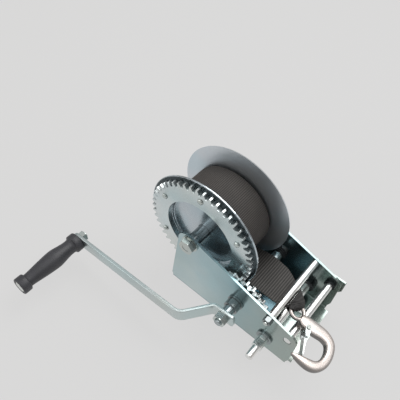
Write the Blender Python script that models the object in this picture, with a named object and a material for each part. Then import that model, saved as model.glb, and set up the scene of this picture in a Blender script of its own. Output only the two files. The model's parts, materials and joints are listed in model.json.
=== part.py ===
"""Two-speed hand winch for a boat trailer, with a webbing strap and a forged hook.

Lengths below are millimetres, angles are degrees; MM turns a length into metres.
+X is the way the strap runs out, the crank is on the -Y side, +Z is up, and the
origin is on the underside of the base, straight below the drum's axis.
"""
import math

import bmesh
import bpy
from mathutils import Matrix, Vector

MM = 0.001
GAP = 0.3                      # clearance kept between pieces that touch

# Frame: one steel channel, bent from sheet
FRAME_WIDTH = 106.0
PLATE = 3.0
BEND_INSIDE = 2.0
BASE_REAR = -30.0
BASE_FRONT = 169.0
SIDE_REAR_LOW = -26.4
SIDE_REAR_TOP = -18.0
SIDE_FRONT = 165.6
TOP_AT_DRUM = 117.4            # height of the sloping top edge above the drum's axis line
TOP_SLOPE = -0.29
NOTCH_FRONT = 162.6            # bend relief: the side plates start this far back from the front
NOTCH_REAR = -24.5
NOTCH_INSIDE = 46.0            # the base keeps its full length between these reliefs
APEX_RADIUS = 14.0
CORNER_RADIUS = 14.0
SLOT_WIDTH = 10.0
SLOT_LENGTH = 22.0
SLOTS = ((20.0, -24.0), (20.0, 24.0), (141.0, -24.0), (141.0, 24.0))

# Gear train: spur gears of one module
MODULE = 3.0
RING_TEETH = 50
PINION_TEETH = 12
LAY_TEETH = 26
DRUM_X = 0.0
DRUM_Z = 108.0
LAY_ANGLE = -33.4              # from the drum's axis down to the crank shaft
LOW_ANGLE = -29.8              # from the crank shaft down to the low-speed shaft
SHAFT_RADIUS = 7.0
STUD_RADIUS = 5.0

# Drum
FLANGE_RADIUS = 82.5
FLANGE_SHEET = 2.0
NEAR_FLANGE_Y = -30.7          # outer face of the near flange
CUP_RADIUS = 52.0
CUP_FLOOR_Y = -27.5
FAR_FLANGE_Y = 31.5
FAR_RIM_Y = 36.4
BARREL_RADIUS = 30.0
RING_FACE_Y = -37.6
RING_BORE = 50.5
RIVET_CIRCLE = 63.5
RIVETS = 6
RIVET_PHASE = 33.0
RING_PHASE = 4.2               # where the first tooth of the ring gear stands at rest
HUB_RADIUS = 8.5
DRUM_BOLT_RADIUS = 6.0

# Strap
STRAP_WIDTH = 50.0
STRAP_NEAR_Y = -20.8
STRAP_THICK = 1.5
ROLL_RADIUS = 58.8
LOOP_NEAR = -35.0              # the loop's edges, as angles round the hook's eye
LOOP_FAR = 106.0
LOOP_START = 70.0              # where the loop starts and ends round the wire, 0 being outside the eye
LOOP_END = 285.0
LOOP_SAG = 3.4                 # how far the middle of the loop sags into the eye
HINGE_X = 130.0                # where the strap bends as the hook is lifted
SHOULDER_NEAR = (132.0, -24.6, 73.0)
SHOULDER_FAR = (144.2, -4.4, 72.3)
FOLD_END_X = 98.0              # where the folded-back end stops

# Cross members
TIE_X = 124.2
TIE_Z = 75.6
TIE_BOLT_RADIUS = 3.0
SLEEVE_RADIUS = 5.0
GUIDE_X = 153.2
GUIDE_Z = 56.4
GUIDE_RADIUS = 5.0

# Crank
CRANK_LENGTH = 222.0
CRANK_ANGLE = 185.2            # from +X, seen from the crank side with +Z up
ARM_WIDTH = 20.0
ARM_THICK = 4.5
ARM_HUB_TAIL = 15.0            # how far the flat end runs on past the shaft
ARM_HUB_Y = -77.0
ARM_OUT_Y = -113.0
ARM_JOG_START = 15.0
ARM_JOG_END = 42.0
GRIP_LENGTH = 96.0

# Hook, in its own plane: s runs from the eye to the bowl, t across towards +Y
EYE_X = 143.8
EYE_Y = -20.1
EYE_Z = 69.2
EYE_RADIUS = 8.8
EYE_WIRE = 2.5
HOOK_SLOPE = 14.0              # below horizontal, towards +X
HOOK_ROLL = 7.0                # below horizontal, towards +Y
HOOK_YAW = -31.0               # towards the crank side
LATCH_S = 21.9
LATCH_T = 1.6
LATCH_TIP_S = 48.4
LATCH_TIP_T = -18.8

# Ratchet, outside the far plate
DOUBLER = 2.5
RATCHET_TEETH = 24
RATCHET_TIP = 22.0
RATCHET_ROOT = 19.6
RATCHET_PHASE = 15.6           # puts a gap under the nose of the dropped pawl
PAWL_DISTANCE = 31.0
PAWL_BEARING = -30.0
PAWL_THICK = 4.0
PAWL_LIFT = 14.0               # how far the pawl stands lifted at rest

SEGMENTS = 48

HALF_WIDTH = FRAME_WIDTH / 2
INNER_Y = HALF_WIDTH - PLATE
CENTRE_1 = MODULE * (RING_TEETH + PINION_TEETH) / 2
CENTRE_2 = MODULE * (PINION_TEETH + LAY_TEETH) / 2
LAY_X = DRUM_X + CENTRE_1 * math.cos(math.radians(LAY_ANGLE))
LAY_Z = DRUM_Z + CENTRE_1 * math.sin(math.radians(LAY_ANGLE))
LOW_X = LAY_X + CENTRE_2 * math.cos(math.radians(LOW_ANGLE))
LOW_Z = LAY_Z + CENTRE_2 * math.sin(math.radians(LOW_ANGLE))
PAWL_X = LAY_X + PAWL_DISTANCE * math.cos(math.radians(PAWL_BEARING))
PAWL_Z = LAY_Z + PAWL_DISTANCE * math.sin(math.radians(PAWL_BEARING))
GRIP_X = LAY_X + CRANK_LENGTH * math.cos(math.radians(CRANK_ANGLE))
GRIP_Z = LAY_Z + CRANK_LENGTH * math.sin(math.radians(CRANK_ANGLE))


# ---------------------------------------------------------------- scene helpers

def clear_scene():
    for old in list(bpy.data.objects):
        bpy.data.objects.remove(old, do_unlink=True)


def material(name, colour, roughness, metallic):
    made = bpy.data.materials.new(name)
    made.use_nodes = True
    shader = made.node_tree.nodes["Principled BSDF"]
    shader.inputs["Base Color"].default_value = (*colour, 1.0)
    shader.inputs["Roughness"].default_value = roughness
    shader.inputs["Metallic"].default_value = metallic
    return made


def axis_empty(name, x, y, z, rotation=None):
    """An empty on a joint's axis; the pieces of that body hang from it."""
    empty = bpy.data.objects.new(name, None)
    bpy.context.scene.collection.objects.link(empty)
    empty.matrix_world = Matrix.Translation(Vector((x, y, z)) * MM) @ (rotation or Matrix.Identity(4))
    return empty


def add_piece(name, bm, finish, parent, smooth=True):
    """Turn a bmesh in millimetres into a named object in metres under its body's empty."""
    bmesh.ops.remove_doubles(bm, verts=bm.verts, dist=0.001)
    bmesh.ops.recalc_face_normals(bm, faces=bm.faces)
    bmesh.ops.scale(bm, vec=(MM, MM, MM), verts=bm.verts)
    mesh = bpy.data.meshes.new(name)
    bm.to_mesh(mesh)
    bm.free()
    mesh.materials.append(finish)
    if smooth:
        mesh.shade_smooth()
        mesh.set_sharp_from_angle(angle=math.radians(35))
    piece = bpy.data.objects.new(name, mesh)
    bpy.context.scene.collection.objects.link(piece)
    piece.parent = parent
    return piece


def add_cutter(name, bm, parent):
    cutter = add_piece(name, bm, FINISH["steel"], parent, smooth=False)
    cutter.hide_render = True
    cutter.display_type = "WIRE"
    return cutter


def boolean(piece, cutter, operation="DIFFERENCE"):
    modifier = piece.modifiers.new(cutter.name, "BOOLEAN")
    modifier.operation = operation
    modifier.object = cutter
    modifier.solver = "EXACT"


# ---------------------------------------------------------------- shape helpers

def polar(radius, degrees):
    angle = math.radians(degrees)
    return (radius * math.cos(angle), radius * math.sin(angle))


def arc(cx, cz, radius, start, end, steps):
    """Points on an arc about (cx, cz), from start to end in degrees."""
    points = []
    for i in range(steps + 1):
        x, z = polar(radius, start + (end - start) * i / steps)
        points.append((cx + x, cz + z))
    return points


def rounded(corners, steps=6):
    """A closed outline through (x, z, radius) corners, with an arc at each one."""
    outline = []
    count = len(corners)
    for i, (x, z, radius) in enumerate(corners):
        here = Vector((x, z))
        if radius <= 0:
            outline.append((x, z))
            continue
        back = (Vector(corners[i - 1][:2]) - here).normalized()
        ahead = (Vector(corners[(i + 1) % count][:2]) - here).normalized()
        half = back.angle(ahead) / 2
        centre = here + (back + ahead).normalized() * (radius / math.sin(half))
        first = here + back * (radius / math.tan(half)) - centre
        turn = first.angle_signed(here + ahead * (radius / math.tan(half)) - centre)
        for k in range(steps + 1):
            spoke = first.copy()
            spoke.rotate(Matrix.Rotation(-turn * k / steps, 2))
            outline.append(tuple(centre + spoke))
    return outline


def prism(outline, y0, y1):
    """An (x, z) outline extruded along Y."""
    bm = bmesh.new()
    near = [bm.verts.new((x, y0, z)) for x, z in outline]
    far = [bm.verts.new((x, y1, z)) for x, z in outline]
    bm.faces.new(near)
    bm.faces.new(list(reversed(far)))
    for i in range(len(outline)):
        j = (i + 1) % len(outline)
        bm.faces.new((near[i], far[i], far[j], near[j]))
    return bm


def turned(profile, segments=SEGMENTS, x=0.0, z=0.0):
    """A (radius, y) profile turned about the Y axis through (x, z).

    A profile that starts and ends at radius 0 makes a solid; any other is closed to a ring.
    """
    bm = bmesh.new()
    solid = profile[0][0] == 0 and profile[-1][0] == 0
    rows = profile[1:-1] if solid else profile
    rings = []
    for radius, y in rows:
        ring = []
        for k in range(segments):
            dx, dz = polar(radius, 360.0 * k / segments)
            ring.append(bm.verts.new((x + dx, y, z + dz)))
        rings.append(ring)
    pairs = list(zip(rings, rings[1:]))
    if solid:
        bm.faces.new(rings[0])
        bm.faces.new(list(reversed(rings[-1])))
    else:
        pairs.append((rings[-1], rings[0]))
    for a, b in pairs:
        for k in range(segments):
            m = (k + 1) % segments
            bm.faces.new((a[k], a[m], b[m], b[k]))
    return bm


def tube(outer, inner, y0, y1, segments=SEGMENTS, x=0.0, z=0.0):
    return turned([(inner, y0), (outer, y0), (outer, y1), (inner, y1)], segments, x, z)


def rod(radius, y0, y1, segments=24, x=0.0, z=0.0):
    return turned([(0, y0), (radius, y0), (radius, y1), (0, y1)], segments, x, z)


def rod_with_chamfers(steps, chamfer=0.6, segments=24, x=0.0, z=0.0):
    """A stepped shaft: (radius, y) at each end of each step, with both ends chamfered."""
    first_r, first_y = steps[0]
    last_r, last_y = steps[-1]
    profile = [(0, first_y), (first_r - chamfer, first_y), (first_r, first_y + chamfer)]
    profile += steps[1:-1]
    profile += [(last_r, last_y - chamfer), (last_r - chamfer, last_y), (0, last_y)]
    return turned(profile, segments, x, z)


def hexagon(flats, turn=0.0):
    radius = flats / math.sqrt(3)
    return [polar(radius, 60 * k + turn) for k in range(6)]


def hex_nut(flats, bore, y0, y1, x=0.0, z=0.0, turn=0.0):
    """A hexagon with its corners eased at both faces and a round bore."""
    bm = bmesh.new()
    corner = flats / math.sqrt(3)
    ease = 0.12 * (y1 - y0)
    rows = []
    sides = 24
    for y, cap in ((y0, 0.93), (y0 + ease, 1.0), (y1 - ease, 1.0), (y1, 0.93)):
        outer = []
        for k in range(sides):
            degrees = 360.0 * k / sides
            off = math.radians((degrees + 30) % 60 - 30)
            reach = min(flats / 2 / math.cos(math.radians(30) - abs(off)), corner * cap)
            dx, dz = polar(reach, degrees + turn)
            outer.append(bm.verts.new((x + dx, y, z + dz)))
        rows.append(outer)
    inner = []
    for y in (y1, y0):
        ring = []
        for k in range(sides):
            dx, dz = polar(bore, 360.0 * k / sides + turn)
            ring.append(bm.verts.new((x + dx, y, z + dz)))
        inner.append(ring)
    rows += inner
    for a, b in zip(rows, rows[1:] + rows[:1]):
        for k in range(sides):
            m = (k + 1) % sides
            bm.faces.new((a[k], a[m], b[m], b[k]))
    return bm


def gear_outline(teeth, phase=0.0):
    """Trapezoid teeth: four points a tooth, from root to root."""
    pitch = MODULE * teeth / 2
    tip = pitch + MODULE * 0.95
    root = pitch - MODULE * 1.2
    step = 360.0 / teeth
    outline = []
    for i in range(teeth):
        centre = phase + i * step
        for radius, share in ((root, -0.34), (tip, -0.12), (tip, 0.12), (root, 0.34)):
            outline.append(polar(radius, centre + share * step))
    return outline


def swept(path, sections, closed=False):
    """Rings of (position, side, up) frames joined by quads; sections gives each ring's outline."""
    bm = bmesh.new()
    rings = []
    for (place, side, up), outline in zip(path, sections):
        rings.append([bm.verts.new(place + side * a + up * b) for a, b in outline])
    pairs = list(zip(rings, rings[1:]))
    if closed:
        pairs.append((rings[-1], rings[0]))
    else:
        bm.faces.new(rings[0])
        bm.faces.new(list(reversed(rings[-1])))
    for a, b in pairs:
        for k in range(len(a)):
            m = (k + 1) % len(a)
            bm.faces.new((a[k], a[m], b[m], b[k]))
    return bm


def ellipse(half_a, half_b, sides):
    return [(half_a * math.cos(2 * math.pi * k / sides), half_b * math.sin(2 * math.pi * k / sides))
            for k in range(sides)]


def smooth_curve(points, steps):
    """A Catmull-Rom curve through the points, with steps between each pair."""
    ends = [points[0] * 2 - points[1]] + list(points) + [points[-1] * 2 - points[-2]]
    curve = []
    for i in range(1, len(ends) - 2):
        a, b, c, d = ends[i - 1:i + 3]
        for k in range(steps):
            u = k / steps
            curve.append(((b * 2) + (c - a) * u + (a * 2 - b * 5 + c * 4 - d) * u * u
                          + (b * 3 - a - c * 3 + d) * u ** 3) * 0.5)
    curve.append(points[-1])
    return curve


def coil(radius, wire, y0, y1, turns, x=0.0, z=0.0, sides=6, steps=16):
    """A helical spring about the Y axis."""
    path = []
    sections = []
    total = int(turns * steps)
    for i in range(total + 1):
        angle = 2 * math.pi * i / steps
        out = Vector((math.cos(angle), 0, math.sin(angle)))
        place = Vector((x, y0 + (y1 - y0) * i / total, z)) + out * radius
        path.append((place, out, Vector((0, 1, 0))))
        sections.append(ellipse(wire, wire, sides))
    return swept(path, sections)


# ---------------------------------------------------------------- frame

def side_outline():
    """The channel seen from the side: base line, front, sloping top, rounded apex, rear."""
    def top(x):
        return TOP_AT_DRUM + TOP_SLOPE * x
    return rounded([
        (BASE_REAR, -1.0, 0),
        (BASE_FRONT, -1.0, 0),
        (BASE_FRONT, 5.0, 0),
        (SIDE_FRONT, 7.0, 0),
        (SIDE_FRONT, top(SIDE_FRONT), CORNER_RADIUS),
        (SIDE_REAR_TOP, top(SIDE_REAR_TOP), APEX_RADIUS),
        (SIDE_REAR_LOW, 9.0, 0),
        (BASE_REAR, 5.0, 0),
    ])


def channel_section():
    """The channel's (y, z) section, an upright U with rounded bends."""
    height = TOP_AT_DRUM + 20
    outside = BEND_INSIDE + PLATE
    y = HALF_WIDTH - outside
    right = arc(y, outside, outside, -90, 0, 5) + [(HALF_WIDTH, height), (INNER_Y, height)]
    right += arc(y, outside, BEND_INSIDE, 0, -90, 5)
    left = [(-a, b) for a, b in reversed(right)]
    return right + left


def build_frame(parent):
    bm = bmesh.new()
    section = channel_section()
    rear = [bm.verts.new((BASE_REAR - 1, y, z)) for y, z in section]
    front = [bm.verts.new((BASE_FRONT, y, z)) for y, z in section]
    bm.faces.new(rear)
    bm.faces.new(list(reversed(front)))
    for i in range(len(section)):
        j = (i + 1) % len(section)
        bm.faces.new((rear[i], front[i], front[j], rear[j]))
    frame = add_piece("frame_channel", bm, FINISH["zinc"], parent)
    sides = prism(side_outline(), -HALF_WIDTH - 5, HALF_WIDTH + 5)
    boolean(frame, add_cutter("cut_frame_sides", sides, parent), "INTERSECT")
    front = [(NOTCH_FRONT, -6.0), (NOTCH_FRONT + 12, -6.0), (NOTCH_FRONT + 12, 17.0), (SIDE_FRONT, 17.0),
             (SIDE_FRONT - 1.4, 12.0), (NOTCH_FRONT + 0.3, 8.5)]
    rear = [(NOTCH_REAR, -6.0), (NOTCH_REAR, 8.0), (SIDE_REAR_LOW - 0.1, 11.0), (NOTCH_REAR - 12, 11.0),
            (NOTCH_REAR - 12, -6.0)]
    for end, outline in (("front", front), ("rear", rear)):
        for side, name in ((-1, "near"), (1, "far")):
            low, high = sorted((side * NOTCH_INSIDE, side * (HALF_WIDTH + 5)))
            boolean(frame, add_cutter("cut_%s_relief_%s" % (end, name), prism(outline, low, high), parent))
    holes = (
        ("cut_drum_bolt", DRUM_X, DRUM_Z, DRUM_BOLT_RADIUS + GAP),
        ("cut_shaft_bush", LAY_X, LAY_Z, 10.0),
        ("cut_low_bush", LOW_X, LOW_Z, 10.0),
        ("cut_tie", TIE_X, TIE_Z, TIE_BOLT_RADIUS + GAP),
        ("cut_guide", GUIDE_X, GUIDE_Z, GUIDE_RADIUS + GAP),
    )
    for name, x, z, radius in holes:
        hole = rod(radius, -HALF_WIDTH - 5, HALF_WIDTH + 5, 32, x, z)
        boolean(frame, add_cutter(name, hole, parent))
    for i, (x, y) in enumerate(SLOTS):
        straight = (SLOT_LENGTH - SLOT_WIDTH) / 2
        outline = arc(x + straight, y, SLOT_WIDTH / 2, -90, 90, 8)
        outline += arc(x - straight, y, SLOT_WIDTH / 2, 90, 270, 8)
        slot = prism(outline, -5.0, 10.0)
        bmesh.ops.rotate(slot, verts=slot.verts, matrix=Matrix.Rotation(math.radians(-90), 3, "X"))
        bmesh.ops.scale(slot, vec=(1, -1, -1), verts=slot.verts)
        boolean(frame, add_cutter("cut_slot_%d" % (i + 1), slot, parent))


def doubler_outline():
    return rounded([
        (56.0, 30.0, 6),
        (107.0, 30.0, 6),
        (116.0, 43.0, 6),
        (SIDE_FRONT - 0.6, 43.0, 2),
        (SIDE_FRONT + 3.7, 50.0, 2),
        (SIDE_FRONT + 3.7, 69.8, 1),
        (56.0, 69.8, 6),
    ], 4)


def build_doubler(parent):
    y0 = HALF_WIDTH + GAP
    piece = add_piece("far_side_doubler", prism(doubler_outline(), y0, y0 + DOUBLER), FINISH["zinc"],
                      parent)
    for name, x, z, radius in (("cut_doubler_bush", LAY_X, LAY_Z, 10.0),
                               ("cut_doubler_guide", GUIDE_X, GUIDE_Z, GUIDE_RADIUS + GAP),
                               ("cut_doubler_pawl", PAWL_X, PAWL_Z, 3.0 + GAP)):
        hole = rod(radius, y0 - 3, y0 + DOUBLER + 3, 24, x, z)
        boolean(piece, add_cutter(name, hole, parent))


def build_bushes(parent):
    """Flanged bushes in the side plates, pressed in from outside."""
    bore = SHAFT_RADIUS + GAP
    body = 10.0 - GAP
    outer = HALF_WIDTH + GAP
    specs = (
        ("shaft_bush_near", LAY_X, LAY_Z, -1, outer, 10.9),
        ("shaft_bush_far", LAY_X, LAY_Z, 1, outer + DOUBLER + GAP, 11.5),
        ("low_shaft_bush_near", LOW_X, LOW_Z, -1, outer, 10.9),
        ("low_shaft_bush_far", LOW_X, LOW_Z, 1, outer, 11.5),
    )
    for name, x, z, side, seat, flange in specs:
        profile = [(bore, side * (INNER_Y + GAP)), (body, side * (INNER_Y + GAP)), (body, side * seat),
                   (flange, side * seat), (flange, side * (seat + 2.2)), (bore, side * (seat + 2.2))]
        add_piece(name, turned(profile, 32, x, z), FINISH["bronze"], parent)


def build_drum_bolt(parent):
    head = HALF_WIDTH + 2.2
    near = -head - GAP
    end = HALF_WIDTH + 14.0
    shank = rod(DRUM_BOLT_RADIUS, near, end, 24, DRUM_X, DRUM_Z)
    bolt = add_piece("drum_bolt", shank, FINISH["zinc"], parent)
    cap = hex_nut(19.0, DRUM_BOLT_RADIUS - 1.0, near - 7.5, near + 0.01, DRUM_X, DRUM_Z, 12.0)
    plug = rod(DRUM_BOLT_RADIUS - 0.5, near - 7.0, near + 1.0, 24, DRUM_X, DRUM_Z)
    boolean(bolt, add_cutter("add_bolt_head", cap, parent), "UNION")
    boolean(bolt, add_cutter("add_bolt_core", plug, parent), "UNION")
    washer = tube(11.5, DRUM_BOLT_RADIUS + GAP, -HALF_WIDTH - 2.2, -HALF_WIDTH - GAP, 32, DRUM_X, DRUM_Z)
    add_piece("drum_bolt_washer", washer, FINISH["zinc"], parent)
    nut = hex_nut(19.0, DRUM_BOLT_RADIUS + GAP, HALF_WIDTH + GAP, HALF_WIDTH + 10.5, DRUM_X, DRUM_Z)
    add_piece("drum_bolt_nut", nut, FINISH["zinc"], parent)


def build_tie(parent):
    """A bolt through a bright sleeve that holds the side plates apart."""
    far = HALF_WIDTH + GAP
    steps = [(TIE_BOLT_RADIUS, -HALF_WIDTH - 9.6), (TIE_BOLT_RADIUS, far), (4.6, far), (4.6, far + 1.4)]
    bolt = rod_with_chamfers(steps, 0.5, 24, TIE_X, TIE_Z)
    add_piece("tie_bolt", bolt, FINISH["zinc"], parent)
    sleeve = tube(SLEEVE_RADIUS, TIE_BOLT_RADIUS + GAP, -INNER_Y + GAP, INNER_Y - GAP, 24, TIE_X, TIE_Z)
    add_piece("tie_sleeve", sleeve, FINISH["bright"], parent)
    nut = hex_nut(10.0, TIE_BOLT_RADIUS + GAP, -HALF_WIDTH - 7.4, -HALF_WIDTH - GAP, TIE_X, TIE_Z)
    add_piece("tie_nut", nut, FINISH["zinc"], parent)


def build_guide_rod(parent):
    """The front rod that the hook rests on: flush with the near plate, riveted over at the far side."""
    far = HALF_WIDTH + GAP + DOUBLER + GAP
    near = -HALF_WIDTH + 0.4
    r = GUIDE_RADIUS
    profile = [(0, near), (r - 0.4, near), (r, near + 0.4), (r, far), (6.6, far), (6.6, far + 0.8),
               (5.2, far + 1.6), (0, far + 1.6)]
    add_piece("front_guide_rod", turned(profile, 24, GUIDE_X, GUIDE_Z), FINISH["bright"], parent)
    collar = tube(7.6, r + GAP, INNER_Y - 4.0, INNER_Y - GAP, 24, GUIDE_X, GUIDE_Z)
    add_piece("guide_rod_collar", collar, FINISH["black_steel"], parent)


# ---------------------------------------------------------------- drum

def build_drum(parent):
    """The pieces that turn with the drum, about the local Y axis."""
    sheet = FLANGE_SHEET
    near = NEAR_FLANGE_Y
    bend = 1.0
    near_flange = [(HUB_RADIUS + GAP, CUP_FLOOR_Y), (CUP_RADIUS - sheet - bend, CUP_FLOOR_Y),
                   (CUP_RADIUS - sheet, CUP_FLOOR_Y - bend), (CUP_RADIUS - sheet, near + 1.0),
                   (CUP_RADIUS - sheet + 1.0, near), (FLANGE_RADIUS, near), (FLANGE_RADIUS, near + sheet),
                   (CUP_RADIUS, near + sheet), (CUP_RADIUS, CUP_FLOOR_Y), (CUP_RADIUS - sheet, CUP_FLOOR_Y + sheet),
                   (HUB_RADIUS + GAP, CUP_FLOOR_Y + sheet)]
    flange = add_piece("drum_near_flange", turned(near_flange, 64), FINISH["zinc"], parent)
    far = FAR_FLANGE_Y
    rim = FAR_RIM_Y
    far_flange = [(HUB_RADIUS + GAP, far)]
    back = [(HUB_RADIUS + GAP, far + sheet)]
    for k in range(8):
        share = k / 7
        lift = (rim - far) * share ** 1.7
        lean = math.atan(1.7 * (rim - far) * share ** 0.7 / (FLANGE_RADIUS - 60.0))
        radius = 60.0 + (FLANGE_RADIUS - 60.0) * share
        far_flange.append((radius, far + lift))
        back.append((radius - sheet * math.sin(lean), far + lift + sheet * math.cos(lean)))
    far_flange += reversed(back)
    add_piece("drum_far_flange", turned(far_flange, 64), FINISH["zinc"], parent)
    barrel = tube(BARREL_RADIUS, BARREL_RADIUS - 2.5, CUP_FLOOR_Y + sheet + GAP, far - GAP, 48)
    add_piece("drum_barrel", barrel, FINISH["zinc"], parent)
    hub = tube(HUB_RADIUS, DRUM_BOLT_RADIUS + GAP, -INNER_Y + GAP, INNER_Y - GAP, 32)
    add_piece("drum_hub_tube", hub, FINISH["zinc"], parent)
    ring = add_piece("ring_gear", prism(gear_outline(RING_TEETH, RING_PHASE), RING_FACE_Y, near - GAP), FINISH["zinc"],
                     parent, smooth=False)
    bore = rod(RING_BORE, RING_FACE_Y - 5, near + 5, 64)
    boolean(ring, add_cutter("cut_ring_bore", bore, parent))
    for i in range(RIVETS):
        x, z = polar(RIVET_CIRCLE, RIVET_PHASE + 360.0 * i / RIVETS)
        hole = rod(2.5 + GAP, RING_FACE_Y - 3, near + sheet + 3, 12, x, z)
        cutter = add_cutter("cut_rivet_%d" % (i + 1), hole, parent)
        boolean(ring, cutter)
        boolean(flange, cutter)
        face = RING_FACE_Y - GAP
        back = near + sheet + GAP
        profile = [(0, face - 2.4), (1.7, face - 2.25), (3.1, face - 1.6), (3.9, face - 0.6), (4.0, face),
                   (2.5, face), (2.5, back), (4.2, back), (3.4, back + 1.2), (0, back + 1.2)]
        add_piece("gear_rivet_%d" % (i + 1), turned(profile, 12, x, z), FINISH["zinc"], parent)
    roll = tube(ROLL_RADIUS, BARREL_RADIUS + GAP, STRAP_NEAR_Y, STRAP_NEAR_Y + STRAP_WIDTH, 64)
    add_piece("strap_roll", roll, FINISH["webbing"], parent)


# ---------------------------------------------------------------- shafts and crank

def geared(name, teeth, bore, y0, y1, phase, parent):
    piece = add_piece(name, prism(gear_outline(teeth, phase), y0, y1), FINISH["zinc"], parent, smooth=False)
    boolean(piece, add_cutter("cut_" + name, rod(bore, y0 - 3, y1 + 3, 32), parent))
    return piece


def meshing_phase(teeth, partner_teeth, partner_phase, bearing):
    """The phase that puts a gap of this gear opposite a tooth of its partner.

    bearing is the direction from the partner's axis to this gear's axis.
    """
    partner_step = 360.0 / partner_teeth
    offset = ((bearing - partner_phase) / partner_step) % 1.0
    step = 360.0 / teeth
    return bearing + 180.0 - step * (0.5 - offset)


def build_drive_shaft(parent):
    far_seat = HALF_WIDTH + GAP + DOUBLER + GAP + 2.2
    shoulder = ARM_HUB_Y + ARM_THICK / 2 + GAP
    steps = [(STUD_RADIUS, ARM_HUB_Y - 14.0), (STUD_RADIUS, shoulder), (SHAFT_RADIUS, shoulder),
             (SHAFT_RADIUS, far_seat + 10.5)]
    add_piece("drive_shaft", rod_with_chamfers(steps), FINISH["bright"], parent)
    bore = SHAFT_RADIUS + GAP
    pinion_phase = meshing_phase(PINION_TEETH, RING_TEETH, RING_PHASE, LAY_ANGLE)
    geared("drive_pinion", PINION_TEETH, bore, -41.8, NEAR_FLANGE_Y - GAP, pinion_phase, parent)
    geared("lay_gear", LAY_TEETH, bore, -48.2, -42.1, 0.0, parent)
    spacer = tube(9.6, bore, -HALF_WIDTH - 12.0, -HALF_WIDTH - GAP - 2.2 - GAP, 24)
    add_piece("shaft_spacer", spacer, FINISH["black_steel"], parent)
    add_piece("shaft_spring", coil(8.6, 1.0, 40.0, 48.5, 3.0), FINISH["black_steel"], parent)
    build_ratchet(parent, far_seat + GAP)
    clip = tube(9.6, bore, far_seat + 6.2, far_seat + 7.8, 24)
    add_piece("shaft_retaining_ring", clip, FINISH["black_steel"], parent)


def build_ratchet(parent, y0):
    step = 360.0 / RATCHET_TEETH
    outline = []
    for i in range(RATCHET_TEETH):
        start = RATCHET_PHASE + i * step
        outline.append(polar(RATCHET_ROOT, start + 1.0))
        outline.append(polar(RATCHET_ROOT, start + 5.0))
        outline.append(polar(RATCHET_TIP, start + 12.5))
        outline.append(polar(RATCHET_TIP, start + 14.6))
    wheel = add_piece("ratchet_wheel", prism(outline, y0, y0 + 5.0), FINISH["zinc"], parent, smooth=False)
    boolean(wheel, add_cutter("cut_ratchet", rod(SHAFT_RADIUS + GAP, y0 - 3, y0 + 8, 32), parent))


def arm_path():
    """The crank arm's centre line as (along, y): flat end, joggle, straight run."""
    start = Vector((-ARM_HUB_TAIL, ARM_HUB_Y))
    points = [start, Vector((0.0, ARM_HUB_Y))]
    bends = ((Vector((ARM_JOG_START, ARM_HUB_Y)), 9.0), (Vector((ARM_JOG_END, ARM_OUT_Y)), 16.0))
    end = Vector((CRANK_LENGTH + ARM_WIDTH / 2, ARM_OUT_Y))
    corners = [start] + [b[0] for b in bends] + [end]
    for i, (corner, radius) in enumerate(bends):
        back = (corners[i] - corner).normalized()
        ahead = (corners[i + 2] - corner).normalized()
        half = back.angle(ahead) / 2
        reach = radius / math.tan(half)
        first = corner + back * reach
        last = corner + ahead * reach
        for k in range(7):
            u = k / 6
            points.append(first * (1 - u) ** 2 + corner * 2 * u * (1 - u) + last * u * u)
    points.append(Vector((CRANK_LENGTH, ARM_OUT_Y)))
    points.append(end)
    return points


def build_crank(parent):
    """A flat bar with a joggle, a square end on the shaft and a round end at the grip."""
    points = arm_path()
    along = Vector((math.cos(math.radians(CRANK_ANGLE)), 0, math.sin(math.radians(CRANK_ANGLE))))
    across = Vector((-along.z, 0, along.x))
    out = Vector((0, 1, 0))
    path = []
    sections = []
    half_w = ARM_WIDTH / 2
    half_t = ARM_THICK / 2
    for i, point in enumerate(points):
        before = points[max(i - 1, 0)]
        after = points[min(i + 1, len(points) - 1)]
        run = (after - before).normalized()
        normal = along * (-run.y) + out * run.x
        path.append((along * point.x + out * point.y, across, normal))
        sections.append([(-half_w, -half_t), (half_w, -half_t), (half_w, half_t), (-half_w, half_t)])
    arm = add_piece("crank_arm", swept(path, sections), FINISH["zinc"], parent, smooth=False)
    for name, at, y, corner in (("hub", -ARM_HUB_TAIL, ARM_HUB_Y, 4.5),
                                ("grip", CRANK_LENGTH + half_w, ARM_OUT_Y, half_w - 0.2)):
        way = -1 if name == "hub" else 1
        for side in (-1, 1):
            centre = along * (at - way * corner) + across * (side * (half_w - corner))
            outline = []
            for k in range(13):
                turn = math.radians(90.0 * k / 12)
                outline.append(centre + along * (way * corner * math.cos(turn))
                               + across * (side * corner * math.sin(turn)))
            outline += [centre + across * (side * (corner + 3)), centre + along * (way * (corner + 3))
                        + across * (side * (corner + 3)), centre + along * (way * (corner + 3))]
            cutter = prism([(point.x, point.z) for point in outline], y - 10, y + 10)
            boolean(arm, add_cutter("cut_arm_%s_corner_%s" % (name, "low" if side < 0 else "high"), cutter, parent))
        shaft = along * (0.0 if name == "hub" else CRANK_LENGTH)
        hole = rod(STUD_RADIUS + GAP, y - 10, y + 10, 24, shaft.x, shaft.z)
        boolean(arm, add_cutter("cut_arm_%s_hole" % name, hole, parent))
    nut_y = ARM_HUB_Y - ARM_THICK / 2 - GAP
    nut = hex_nut(16.0, STUD_RADIUS + GAP, nut_y - 9.0, nut_y, turn=15.0)
    add_piece("crank_nut", nut, FINISH["zinc"], parent)


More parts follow.
